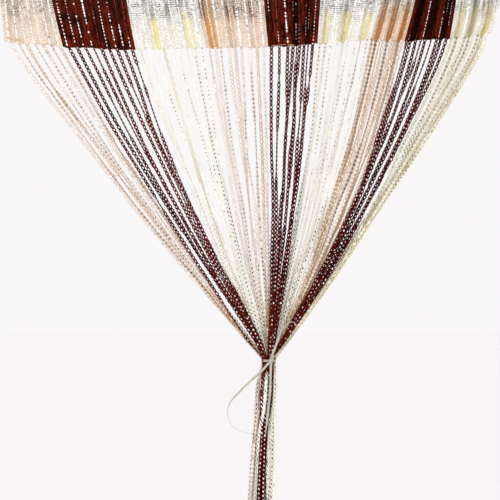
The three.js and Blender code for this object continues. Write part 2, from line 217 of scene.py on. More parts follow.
FOLDS = (
    Fold(0, 0.24, 0.4, 0.7, 0.1, 0.0, 0.6, 0.25),
    Fold(0, 0.72, 0.5, -1.0),
    Fold(1, 0.22, 0.34, 0.8, 0.35),
    Fold(1, 0.56, 0.26, 1.0, 0.75),
    Fold(1, 0.84, 0.24, 0.9, 0.85),
    Fold(2, 0.12, 0.24, -0.5),
    Fold(2, 0.33, 0.22, 1.0, 1.2, 0.55, 1.1),
    Fold(2, 0.33, 0.1, 0.0, 0.0, 0.42, 0.5, 1.1),
    Fold(2, 0.57, 0.2, 0.8, 0.3, 0.6, 0.8, 0.0),
    Fold(2, 0.57, 0.1, 0.0, 0.0, 0.3, 0.5, 0.9),
    Fold(2, 0.8, 0.22, 0.9, 1.0, 0.5, 1.1),
    Fold(2, 0.72, 0.08, 0.0, 0.0, 0.3, 0.5, 0.8),
    Fold(3, 0.13, 0.26, 1.0, 1.7),
    Fold(3, 0.5, 2.0, 0.0, 0.0, 0.0, 0.5, 0.3),
    Fold(3, 0.5, 2.4, 0.0, 0.2, 0.35),
    Fold(3, 0.06, 0.12, 0.0, 0.0, 0.2, 0.5, 1.6),
    Fold(3, 0.44, 0.2, 0.75, 0.5, 0.3, 0.62),
    Fold(3, 0.44, 0.11, 0.0, 0.0, 0.3, 0.5, 1.7),
    Fold(3, 0.56, 0.13, 0.0, 0.6, 0.3, 0.72),
    Fold(3, 0.57, 0.12, 0.0, 0.0, 0.3, 0.55, 1.7),
    Fold(3, 0.8, 0.2, 0.6, 0.5, 0.3, 0.6),
    Fold(3, 0.8, 0.11, 0.0, 0.0, 0.3, 0.52, 1.6),
    Fold(4, 0.08, 0.16, 0.25, 0.8),
    Fold(4, 0.57, 0.22, 1.0, 1.4),
    Fold(4, 0.79, 0.2, 0.8, 0.6),
    Fold(5, 0.12, 0.24, 0.8, 0.9, 0.5),
    Fold(5, 0.46, 0.28, 1.0, 1.2, 0.5),
    Fold(5, 0.46, 0.12, 0.0, 0.0, 0.42, 0.48, 1.1),
    Fold(5, 0.84, 0.28, 0.8, 1.0, 0.55),
    Fold(6, 0.5, 2.4, 0.0, 0.16, 0.35),
    Fold(6, 0.16, 0.4, 0.9, 1.3, 0.46),
    Fold(6, 0.5, 0.4, 1.0, 1.5, 0.44, 1.1),
    Fold(6, 0.84, 0.38, 0.9, 1.5, 0.46),
    Fold(7, 0.18, 0.36, 1.0, 1.7),
    Fold(7, 0.52, 0.36, 0.8, 1.6),
    Fold(7, 0.84, 0.32, 0.8, 1.4),
    Fold(8, 0.16, 0.3, 0.7, 0.7, 0.4),
    Fold(8, 0.31, 0.08, 0.0, 0.0, 0.0, 0.5, 0.9),
    Fold(8, 0.47, 0.3, 1.0, 0.9, 0.5),
    Fold(8, 0.64, 0.09, 0.0, 0.0, 0.3, 0.62, 0.9),
    Fold(8, 0.8, 0.34, 0.9, 1.1, 0.5),
)


@dataclass(frozen=True)
class BundleRow:
    """The tied bundle's section at one height.

    Attributes:
        z: the height.
        x: the section's centre, across.
        half_width: half its size across.
        half_depth: half its size from front to back.
    """

    z: float
    x: float
    half_width: float
    half_depth: float


BUNDLE = (
    BundleRow(WAIST_Z + 0.014, 0.0242, 0.02, 0.01),
    BundleRow(WAIST_Z + 0.003, WAIST_X, 0.0086, 0.011),
    BundleRow(WAIST_Z - 0.004, WAIST_X, 0.0086, 0.011),
    BundleRow(WAIST_Z - 0.028, 0.0225, 0.013, 0.011),
    BundleRow(WAIST_Z - 0.106, 0.019, 0.0155, 0.011),
    BundleRow(WAIST_Z - 0.178, 0.0155, 0.0175, 0.0115),
    BundleRow(-0.76, 0.013, 0.0185, 0.0118),
    BundleRow(-0.9, 0.012, 0.019, 0.012),
    BundleRow(-1.1, 0.0125, 0.0195, 0.0124),
    BundleRow(-1.3, 0.012, 0.02, 0.0128),
    BundleRow(-1.5, 0.0115, 0.0203, 0.0132),
    BundleRow(-1.7, 0.012, 0.0206, 0.0136),
    BundleRow(BUNDLE_END_Z, 0.012, 0.021, 0.014),
)
WAIST = BUNDLE[1]

# Routes of the tape's loose stretches, from the knot outwards.
LOOP_ROUTE = (
    (0.0274, -0.0139, -0.4781),
    (0.0298, -0.0146, -0.4722),
    (0.0328, -0.0144, -0.4644),
    (0.0362, -0.0138, -0.4554),
    (0.0394, -0.0128, -0.4472),
    (0.0430, -0.0118, -0.4402),
    (0.0478, -0.0108, -0.4352),
    (0.0528, -0.0102, -0.4326),
    (0.0572, -0.0102, -0.4332),
    (0.0594, -0.0106, -0.4370),
    (0.0586, -0.0112, -0.4428),
    (0.0554, -0.0120, -0.4492),
    (0.0506, -0.0128, -0.4558),
    (0.0448, -0.0136, -0.4624),
    (0.0386, -0.0144, -0.4696),
    (0.0326, -0.0146, -0.4766),
)
LEFT_END_ROUTE = (
    (0.0241, -0.0144, -0.4849),
    (0.0182, -0.0139, -0.4918),
    (0.0124, -0.0130, -0.4978),
    (0.0058, -0.0120, -0.5038),
    (-0.0010, -0.0112, -0.5098),
    (-0.0076, -0.0106, -0.5162),
    (-0.0138, -0.0100, -0.5230),
    (-0.0200, -0.0094, -0.5292),
    (-0.0250, -0.0088, -0.5362),
    (-0.0278, -0.0082, -0.5448),
    (-0.0274, -0.0076, -0.5540),
    (-0.0238, -0.0070, -0.5628),
    (-0.0178, -0.0064, -0.5692),
    (-0.0098, -0.0058, -0.5730),
    (-0.0018, -0.0054, -0.5748),
    (0.0046, -0.0052, -0.5756),
)
TAIL_END_ROUTE = (
    (0.0274, -0.0138, -0.4857),
    (0.0271, -0.0134, -0.4920),
    (0.0268, -0.0130, -0.5000),
    (0.0266, -0.0125, -0.5080),
    (0.0263, -0.0125, -0.5160),
    (0.0259, -0.0125, -0.5240),
    (0.0252, -0.0125, -0.5320),
    (0.0243, -0.0125, -0.5400),
    (0.0234, -0.0125, -0.5480),
    (0.0226, -0.0125, -0.5560),
    (0.0218, -0.0125, -0.5640),
    (0.0208, -0.0125, -0.5720),
    (0.0202, -0.0125, -0.5790),
)


# ---------------------------------------------------------------------------------------------
# Small tools
# ---------------------------------------------------------------------------------------------


def linear(hex_colour: str) -> tuple[float, float, float, float]:
    """Turns an sRGB hex colour to linear light.

    Args:
        hex_colour: six hex digits.

    Returns:
        Red, green, blue and an alpha of 1.
    """
    shares = [int(hex_colour[i : i + 2], 16) / 255 for i in (0, 2, 4)]
    red, green, blue = (s / 12.92 if s <= 0.04045 else ((s + 0.055) / 1.055) ** 2.4 for s in shares)
    return red, green, blue, 1.0


def smooth_step(low: float, high: float, value: Array) -> Array:
    """A soft step from 0 at low to 1 at high.

    Args:
        low: where the step starts.
        high: where it ends.
        value: what is stepped.

    Returns:
        The step's height for each value.
    """
    share = np.clip((value - low) / (high - low), 0.0, 1.0)
    return share * share * (3 - 2 * share)


def unit(vectors: Array) -> Array:
    """Scales each vector to a length of 1."""
    return vectors / np.maximum(np.linalg.norm(vectors, axis=-1, keepdims=True), 1e-12)


def wander(rng: np.random.Generator, along: Array, spacing: float, amount: float) -> Array:
    """A smooth random swing along a line.

    Args:
        rng: the seeded source of random numbers.
        along: places along the line, rising from about 0.
        spacing: the distance between one swing and the next.
        amount: the swing's usual size.

    Returns:
        The swing at each place.
    """
    steps = np.clip(along / spacing, 0.0, None)
    knots = rng.normal(size=int(steps[-1]) + 3)
    low = steps.astype(int)
    share = smooth_step(0.0, 1.0, steps - low)
    return amount * (knots[low] * (1 - share) + knots[low + 1] * share)


def along_route(route: Route, step: float) -> Array:
    """Points on one smooth curve through a route's points.

    Args:
        route: the points that the curve goes through.
        step: the distance between the points returned.

    Returns:
        An array of points, one to a row.
    """
    points = np.array(route)
    ends = np.vstack([2 * points[0] - points[1], points, 2 * points[-1] - points[-2]])
    share = np.linspace(0.0, 1.0, 24, endpoint=False)[:, None]
    fine = []
    for before, start, stop, after in zip(ends, ends[1:], ends[2:], ends[3:]):
        bow = 2 * before - 5 * start + 4 * stop - after
        turn = 3 * start - before - 3 * stop + after
        fine.append(start + 0.5 * ((stop - before) * share + bow * share**2 + turn * share**3))
    curve = np.vstack([*fine, points[-1]])
    return resampled(curve, step)


def length_along(points: Array) -> Array:
    """Distance along a row of points, from the first one."""
    steps = np.linalg.norm(np.diff(points, axis=0), axis=1)
    return np.concatenate([[0.0], np.cumsum(steps)])


def resampled(points: Array, step: float) -> Array:
    """The same line with its points evenly spaced.

    Args:
        points: the line's points, one to a row.
        step: the distance wanted between two points.

    Returns:
        The new points.
    """
    along = length_along(points)
    wanted = np.linspace(0.0, along[-1], max(2, round(along[-1] / step) + 1))
    return np.column_stack([np.interp(wanted, along, points[:, axis]) for axis in range(3)])


class Joiner:
    """Collects many small closed shapes, with a value at each vertex, into one mesh."""

    def __init__(self) -> None:
        """Starts with no shapes."""
        self.vertices: list[Array] = []
        self.faces: list[Array] = []
        self.values: dict[str, list[Array]] = {}
        self.count = 0

    def add(self, vertices: Array, faces: list[Array], **values: Array) -> None:
        """Adds one shape.

        Args:
            vertices: its points, one to a row.
            faces: its faces, one array for each number of corners.
            **values: named numbers, one for each vertex.
        """
        self.vertices.append(vertices)
        self.faces.extend(part + self.count for part in faces)
        for name, numbers in values.items():
            self.values.setdefault(name, []).append(np.broadcast_to(numbers, len(vertices)))
        self.count += len(vertices)

    def build(self, name: str, material: bpy.types.Material, smooth: bool = True) -> bpy.types.Object:
        """Makes the mesh.

        Args:
            name: the piece's name.
            material: its finish.
            smooth: whether it is shaded smooth.

        Returns:
            The new object, at the origin.
        """
        values = {key: np.concatenate(parts) for key, parts in self.values.items()}
        made = mesh_object(name, np.vstack(self.vertices), self.faces, values)
        made.data.materials.append(material)
        if not smooth:
            made.data.shade_flat()
        return made


def mesh_object(
    name: str, vertices: Array, faces: list[Array], values: dict[str, Array]
) -> bpy.types.Object:
    """Makes an object from arrays, shaded smooth.

    Args:
        name: the object's name.
        vertices: its points, one to a row.
        faces: arrays of faces, one array for each number of corners.
        values: named numbers, one for each vertex, kept as attributes.

    Returns:
        The object, linked to the scene.
    """
    mesh = bpy.data.meshes.new(name)
    mesh.vertices.add(len(vertices))
    mesh.vertices.foreach_set("co", vertices.astype(np.float32).ravel())
    corners = np.concatenate([part.ravel() for part in faces])
    sizes = np.concatenate([np.full(len(part), part.shape[1]) for part in faces])
    mesh.loops.add(len(corners))
    mesh.loops.foreach_set("vertex_index", corners.astype(np.int32))
    mesh.polygons.add(len(sizes))
    starts = np.concatenate([[0], np.cumsum(sizes)[:-1]])
    mesh.polygons.foreach_set("loop_start", starts.astype(np.int32))
    for key, numbers in values.items():
        attribute = mesh.attributes.new(key, "FLOAT", "POINT")
        attribute.data.foreach_set("value", numbers.astype(np.float32))
    mesh.update(calc_edges=True)
    mesh.shade_smooth()
    made = bpy.data.objects.new(name, mesh)
    bpy.context.scene.collection.objects.link(made)
    return made


def tube(centres: Array, across: Array, facing: Array, section: Array) -> tuple[Array, list[Array]]:
    """A closed tube along a line.

    Args:
        centres: the line's points, one to a row.
        across: a unit vector across the tube at each point.
        facing: a unit vector square to it and to the line at each point.
        section: the tube's outline, counter-clockwise, as distances across and facing.

    Returns:
        The tube's vertices, ring by ring, and its faces.
    """
    sides, rings = len(section), len(centres)
    out = across[:, None] * section[None, :, :1] + facing[:, None] * section[None, :, 1:]
    vertices = (centres[:, None] + out).reshape(-1, 3)
    ring = np.arange(sides)
    low = ring + sides * np.arange(rings - 1)[:, None]
    quads = np.stack([low, np.roll(low, -1, 1), np.roll(low, -1, 1) + sides, low + sides], -1)
    caps = np.array([ring[::-1], ring + sides * (rings - 1)])
    return vertices, [quads.reshape(-1, 4), caps]


GRAIN_CORNERS = 6


def facets(centres: Array, along: Array, across: Array, facing: Array) -> tuple[Array, list[Array]]:
    """Small eight-faced grains, one at each centre.

    Args:
        centres: the grains' centres, one to a row.
        along: each grain's half length, as a vector.
        across: its half width, as a vector.
        facing: its half thickness, as a vector.

    Returns:
        The grains' vertices, six to a grain, and their faces.
    """
    corners = np.stack(
        [centres + along, centres + across, centres + facing]
        + [centres - along, centres - across, centres - facing],
        axis=1,
    )
    one = np.array([[0, 1, 2], [1, 3, 2], [3, 4, 2], [4, 0, 2], [1, 0, 5], [3, 1, 5], [4, 3, 5], [0, 4, 5]])
    faces = one + GRAIN_CORNERS * np.arange(len(centres))[:, None, None]
    return corners.reshape(-1, 3), [faces.reshape(-1, 3)]


def fill(tree: bpy.types.NodeTree, node: bpy.types.Node, sockets: dict[str | int, object]) -> None:
    """Sets or links a node's inputs.

    Args:
        tree: the material's or world's nodes.
        node: the node.
        sockets: for an input's name or number, a number, a vector, the hex digits of a colour, or
            the output socket that it is linked to.
    """
    for key, value in sockets.items():
        if isinstance(value, bpy.types.NodeSocket):
            tree.links.new(value, node.inputs[key])
        else:
            node.inputs[key].default_value = linear(value) if isinstance(value, str) else value


def add_node(
    tree: bpy.types.NodeTree, kind: str, sockets: dict[str | int, object] | tuple[object, ...] = (),
    output: str | int = 0, **settings: object,
) -> bpy.types.NodeSocket:
    """Adds a shader node with its settings and links.

    Args:
        tree: the material's or world's nodes.
        kind: the node's type, without the ShaderNode that each type starts with.
        sockets: its inputs as fill takes them, or a row of them from its first one on.
        output: which of its outputs is wanted, by name or number.
        **settings: its properties.

    Returns:
        That output's socket.
    """
    made = tree.nodes.new(f"ShaderNode{kind}")
    for name, value in settings.items():
        setattr(made, name, value)
    fill(tree, made, sockets if isinstance(sockets, dict) else dict(enumerate(sockets)))
    return made.outputs[output]


def new_material(name: str) -> tuple[bpy.types.Material, bpy.types.NodeTree, bpy.types.Node]:
    """Makes a material with a plain shader.

    Args:
        name: the real material's name.

    Returns:
        The material, its nodes and its shader node.
    """
    material = bpy.data.materials.new(name)
    material.use_nodes = True
    tree = material.node_tree
    return material, tree, tree.nodes["Principled BSDF"]


# ---------------------------------------------------------------------------------------------
# Finishes
# ---------------------------------------------------------------------------------------------


@dataclass(frozen=True)
class YarnFinish:
    """Chain-stitched textured polyester yarn: soft, matt, with fine fibres across each strand.

    Attributes:
        name: the material's name.
        light: its colour where it is thin and lit.
        deep: its colour where it is thick or turned away.
        edge: its painted shade along a strand's sides.
        slot: the record's material slot.
        specular: how much light its surface throws back.
        mottle: how strongly its colour varies from fibre to fibre.
        fibre: the distance between fibres, drawn coarser than the real ones so that they show.
        clump: the size of the clumps in which the fibres lie.
        relief: how far a fibre stands up.
    """

    name: str
    light: str
    deep: str
    edge: str
    slot: str
    specular: float = 0.3
    mottle: float = 0.8
    fibre: float = 0.5 * MM
    clump: float = 2.2 * MM
    relief: float = 0.15 * MM

    def material(self) -> bpy.types.Material:
        """Makes the yarn's material.

        Returns:
            The material, which reads the mesh's tone and edge, the painted shade along a strand's sides.
        """
        material, tree, shader = new_material(self.name)
        node = partial(add_node, tree)
        tone, edge = (node("Attribute", output="Fac", attribute_name=name) for name in ("tone", "edge"))
        place = node("TexCoord", output="Object")
        fibres, clumps = (
            node("TexNoise", {"Vector": place, "Scale": 1 / size, "Detail": detail})
            for size, detail in ((self.fibre, 2.0), (self.clump, 1.0))
        )
        both = node("Math", (fibres, clumps), operation="ADD")
        mottle = node("Math", (both, self.mottle, -self.mottle), operation="MULTIPLY_ADD")
        depth = node("Math", (tone, mottle), operation="ADD", use_clamp=True)
        body = node("Mix", {0: depth, 6: self.light, 7: self.deep}, **COLOUR_MIX)
        fill(tree, shader, {
            "Base Color": node("Mix", {0: edge, 6: body, 7: self.edge}, **COLOUR_MIX),
            "Normal": node("Bump", {"Strength": 0.5, "Distance": self.relief, "Height": fibres}),
            "Roughness": 0.75,
            "Specular IOR Level": self.specular,
        })
        return material


@dataclass(frozen=True)
class Pattern:
    """Noise on the flat cloth, or a soft mask made of it.

    Attributes:
        wide: its grain's width, in millimetres.
        high: its grain's height, in millimetres.
        detail: how much finer grain is in it.
        seed: how far it is moved, so that no two patterns agree.
        start: how strong the noise is where the mask starts to show.
        full: how strong it is where the mask shows in full.
    """

    wide: float
    high: float
    detail: float
    seed: float
    start: float = 0.0
    full: float = 1.0

    def noise(self, tree: bpy.types.NodeTree, flat: bpy.types.NodeSocket) -> bpy.types.NodeSocket:
        """The noise.

        Args:
            tree: the material's nodes.
            flat: the map of the flat cloth.

        Returns:
            Its strength.
        """
        spread = add_node(tree, "Mapping", {
            "Vector": flat, "Location": (self.seed, self.seed, 0.0),
            "Scale": (1 / (self.wide * MM), 1 / (self.high * MM), 1.0),
        })
        return add_node(tree, "TexNoise", {"Vector": spread, "Scale": 1.0, "Detail": self.detail})

    def mask(self, tree: bpy.types.NodeTree, flat: bpy.types.NodeSocket) -> bpy.types.NodeSocket:
        """The mask, on a map of the flat cloth."""
        return add_node(tree, "MapRange", (self.noise(tree, flat), self.start, self.full), **SOFT_STEP)


PATTERNS = {
    "broken": Pattern(2.0, 4.0, 1.0, 7.0, 0.4, 0.56),  # where an upright chain shows
    "patches": Pattern(9.0, 14.0, 2.0, 3.0, 0.42, 0.6),  # where the gaps between rows show
    "grain": Pattern(2.4, 1.3, 2.0, 0.0, 0.42, 0.66),
    "streaks": Pattern(2.1, 40.0, 1.0, 5.0, 0.36, 0.6),  # in the folds
    "upright": Pattern(1.7, 34.0, 3.0, 31.0, 0.42, 0.6),
    # upright blotches of painted shade
    "blotches": Pattern(6.0, 17.0, 3.0, 41.0, 0.48, 0.66),
    # the painted shade near the top edge, and its dark specks
    "painted_top_shade": Pattern(16.0, 9.0, 2.0, 23.0, 0.36, 0.62),
    "painted_top_specks": Pattern(1.6, 5.5, 1.0, 53.0, 0.55, 0.66),
    "specks": Pattern(1.3, 1.0, 0.0, 17.0, 0.6, 0.68),
}
ROW_WEAR = Pattern(3.4, 1.2, 1.0, 11.0)  # breaks up the rows of inlay


@dataclass(frozen=True)
class KnitFinish:
    """Close weft-inlay knit: level rows of inlay between upright chains, each with a silver film.

    Attributes:
        name: the material's name.
        light: the face of the cloth.
        fleck: its rows' darker flecks.
        rung: the gaps between its rows, where they show.
        painted_top_shade: the painted shade near the top edge.
        painted_fold_shade: the painted shade down in a fold.
        depth: the darkest painted shade, in a fold and in the blotches.
        rib: the upright chains.
        painted_rib_shadow: the painted shadow beside a chain, whose colour the upright streaks also take.
        film: the film's specks between the rows.
        rib_half_width: of a chain, as its colour shows.
        specks: how many specks of film show, from 0 to 1.
        specular: how much light its surface throws back.
        streak: how strongly upright streaks show on its face.
        blotch: how strongly its face darkens in upright blotches of painted shade.
        row_pitch: from one row of inlay to the next, drawn coarser than the real one so that it shows.
        top: how far down its painted top shade starts to fade, and where that is done.
        rib_shadow_reach: how far from a chain the painted shadow beside it starts to fade, and where that is
            done.
        relief: how far its grain stands up.
    """

    name: str
    light: str
    fleck: str
    rung: str
    painted_top_shade: str
    painted_fold_shade: str
    depth: str
    rib: str
    painted_rib_shadow: str
    film: str
    rib_half_width: float
    specks: float
    specular: float
    streak: float
    blotch: float = 0.0
    row_pitch: float = 2.6 * MM
    top: Pair = (22 * MM, 62 * MM)
    rib_shadow_reach: Pair = (1.4 * MM, 2.6 * MM)
    relief: float = 0.4 * MM

    def material(self) -> bpy.types.Material:
        """Makes the knit's material.

        Returns:
            The material. Its UV map is the flat cloth in metres, across and down.
        """
        material, tree, shader = new_material(self.name)
        node = partial(add_node, tree)
        flat = node("UVMap", uv_map="flat_cloth")
        across, down = node("SeparateXYZ", (flat,)).node.outputs[:2]
        painted_fold_shade, dusk = (node("Attribute", output="Fac", attribute_name=name) for name in ("painted_fold_shade", "dusk"))
        masks = {name: pattern.mask(tree, flat) for name, pattern in PATTERNS.items()}
        near_top = node("MapRange", (down, *self.top, 1.0, 0.0), **SOFT_STEP)

        # Upright chains, one above each string, and the painted shadow beside them.
        pitch = FLAT_WIDTH / string_count()
        counted = node("Math", (across, pitch), operation="DIVIDE")
        from_border = node("Math", (counted, 0.5), operation="PINGPONG")
        from_rib = node("Math", (from_border, -pitch, pitch / 2), operation="MULTIPLY_ADD")
        rib_edge = (0.4 * self.rib_half_width, self.rib_half_width)
        rib = node("MapRange", (from_rib, *rib_edge, 1.0, 0.0), **SOFT_STEP)
        off_rib = node("MapRange", (from_rib, *rib_edge), **SOFT_STEP)
        near_rib = node("MapRange", (from_rib, *self.rib_shadow_reach, 1.0, 0.0), **SOFT_STEP)

        # Level rows of inlay, with gaps between them; that they show more clearly towards the top edge is
        # painted shade.
        turn = node("Math", (down, math.tau / self.row_pitch), operation="MULTIPLY")
        wave = node("Math", (turn,), operation="SINE")
        worn = node("Math", (ROW_WEAR.noise(tree, flat), 1.6, wave), operation="MULTIPLY_ADD")
        rows = node("MapRange", (worn, 0.9, 1.5), **SOFT_STEP)
        clear, sunk, dark, silvered, relief = (
            node("Math", numbers, operation="MULTIPLY_ADD")
            for numbers in (
                (near_top, 0.95, 0.2), (masks["streaks"], 0.6, 0.3), (masks["streaks"], 0.6, 0.4),
                (near_top, 0.6, 0.4), (wave, 0.25, masks["grain"]),
            )
        )

        # Each colour lies over the ones before it, as strongly as its shares multiplied.
        colour = self.light
        for over, share, *shares in (
            (self.fleck, masks["grain"]),
            (self.painted_rib_shadow, masks["upright"], self.streak),
            # Upright blotches of painted shade.
            (self.depth, masks["blotches"], self.blotch),
            # Painted shade near the top edge.
            (self.painted_top_shade, masks["painted_top_shade"], near_top, 0.6),
            # Painted shade in the folds, then painted shadow deeper in them.
            (self.painted_fold_shade, painted_fold_shade, sunk),
            (self.depth, dusk, dark),
            # Painted shadow beside each chain.
            (self.painted_rib_shadow, masks["grain"], near_rib, off_rib, 0.8),
            (self.rung, masks["patches"], rows, clear),
            # Dark specks of painted shade near the top edge.
            (self.rung, masks["painted_top_specks"], near_top, 0.8),
            (self.film, masks["specks"], self.specks, silvered),
            (self.rib, masks["broken"], rib),
        ):
            for factor in shares:
                share = node("Math", (share, factor), operation="MULTIPLY")
            colour = node("Mix", {0: share, 6: colour, 7: over}, **COLOUR_MIX)

        fill(tree, shader, {
            "Base Color": colour,
            "Normal": node("Bump", {"Strength": 0.5, "Distance": self.relief, "Height": relief}),
            "Roughness": 0.7,
            "Specular IOR Level": self.specular,
        })
        return material


@dataclass(frozen=True)
class SilverFinish:
    """Slit metallised polyester film, its glint painted into its colour, white or dark: painted reflection.
    """

    name: str = "metallised polyester film"
    # the painted reflection's colours, from a bright glint to a dark one
    bright: str = "ffffff"
    dull: str = "6e6963"
    dark: str = "140c07"
    dull_at: float = 0.4

    def material(self) -> bpy.types.Material:
        """Makes the film's material.

        Returns:
            The material, painted from dark to bright by the glint of each grain: painted reflection.
        """
        material, tree, shader = new_material(self.name)
        glint = add_node(tree, "Attribute", output="Fac", attribute_name="glint")
        colour = add_node(tree, "ValToRGB", (glint,))
        ramp = colour.node.color_ramp
        ramp.elements[0].color = linear(self.dark)
        ramp.elements[1].color = linear(self.bright)
        ramp.elements.new(self.dull_at).color = linear(self.dull)
        fill(tree, shader, {
            "Base Color": colour, "Metallic": 0.1, "Specular IOR Level": 0.25, "Roughness": 0.4,
        })
        return material


@dataclass(frozen=True)
class TapeFinish:
    """Narrow woven acetate tape: slightly glossy, with a fine twill across it."""

    name: str = "woven acetate tape"
    light: str = "c3c0b1"
    deep: str = "8d8a79"
    thread_pitch: float = 0.6 * MM
    cloud: float = 9 * MM
    relief: float = 0.1 * MM

    def material(self) -> bpy.types.Material:
        """Makes the tape's material.

        Returns:
            The material.
        """
        material, tree, shader = new_material(self.name)
        node = partial(add_node, tree)
        place = node("TexCoord", output="Object")
        weave = node(
            "TexWave",
            {"Vector": place, "Scale": 1 / (math.tau * self.thread_pitch), "Distortion": 1.5, "Detail": 1.0},
            output="Fac", bands_direction="DIAGONAL",
        )
        cloudy = node("TexNoise", {"Vector": place, "Scale": 1 / self.cloud, "Detail": 2.0})
        share = node("Math", (cloudy, 1.6, -0.5), operation="MULTIPLY_ADD", use_clamp=True)
        fill(tree, shader, {
            "Base Color": node("Mix", {0: share, 6: self.light, 7: self.deep}, **COLOUR_MIX),
            "Normal": node("Bump", {"Strength": 0.35, "Distance": self.relief, "Height": weave}),
            "Roughness": 0.42,
        })
        return material


YARNS = {
    Yarn.BEIGE: YarnFinish("beige textured polyester yarn", "f8efea", "c8984a", "e9dcd0", "string_beige"),
    Yarn.BROWN: YarnFinish(
        "brown textured polyester yarn", "82200f", "140302", "240604", "string_brown", 0.06, 1.7
    ),
    Yarn.IVORY: YarnFinish("ivory textured polyester yarn", "fffef8", "cfbb80", "f3efe0", "string_ivory"),
}
KNITS = {
    Yarn.BEIGE: KnitFinish(
        "beige inlay knit", "f0e3d7", "ccb194", "645648", "aba196", "dca24e", "5c3a1c", "fdfaf7", "ccb191",
        "ffffff", 1.3 * MM, 1.0, 0.3, 0.45,
    ),
    Yarn.BROWN: KnitFinish(
        "brown inlay knit", "86260a", "360a02", "160301", "4c150a", "1a0503", "060101", "7c4a44", "120302",
        "8c4636", 0.5 * MM, 0.3, 0.03, 0.85, 1.0,
    ),
    Yarn.IVORY: KnitFinish(
        "ivory inlay knit", "f7f5ef", "cacabb", "54544c", "b2b6b2", "ecdc92", "6e6a44", "ffffff", "d2cebb",
        "ffffff", 1.3 * MM, 1.0, 0.3, 0.6,
    ),
}


# ---------------------------------------------------------------------------------------------
# The heading
# ---------------------------------------------------------------------------------------------


def string_count() -> int:
    """How many strings the curtain has."""
    return sum(block.strings for block in BLOCKS)


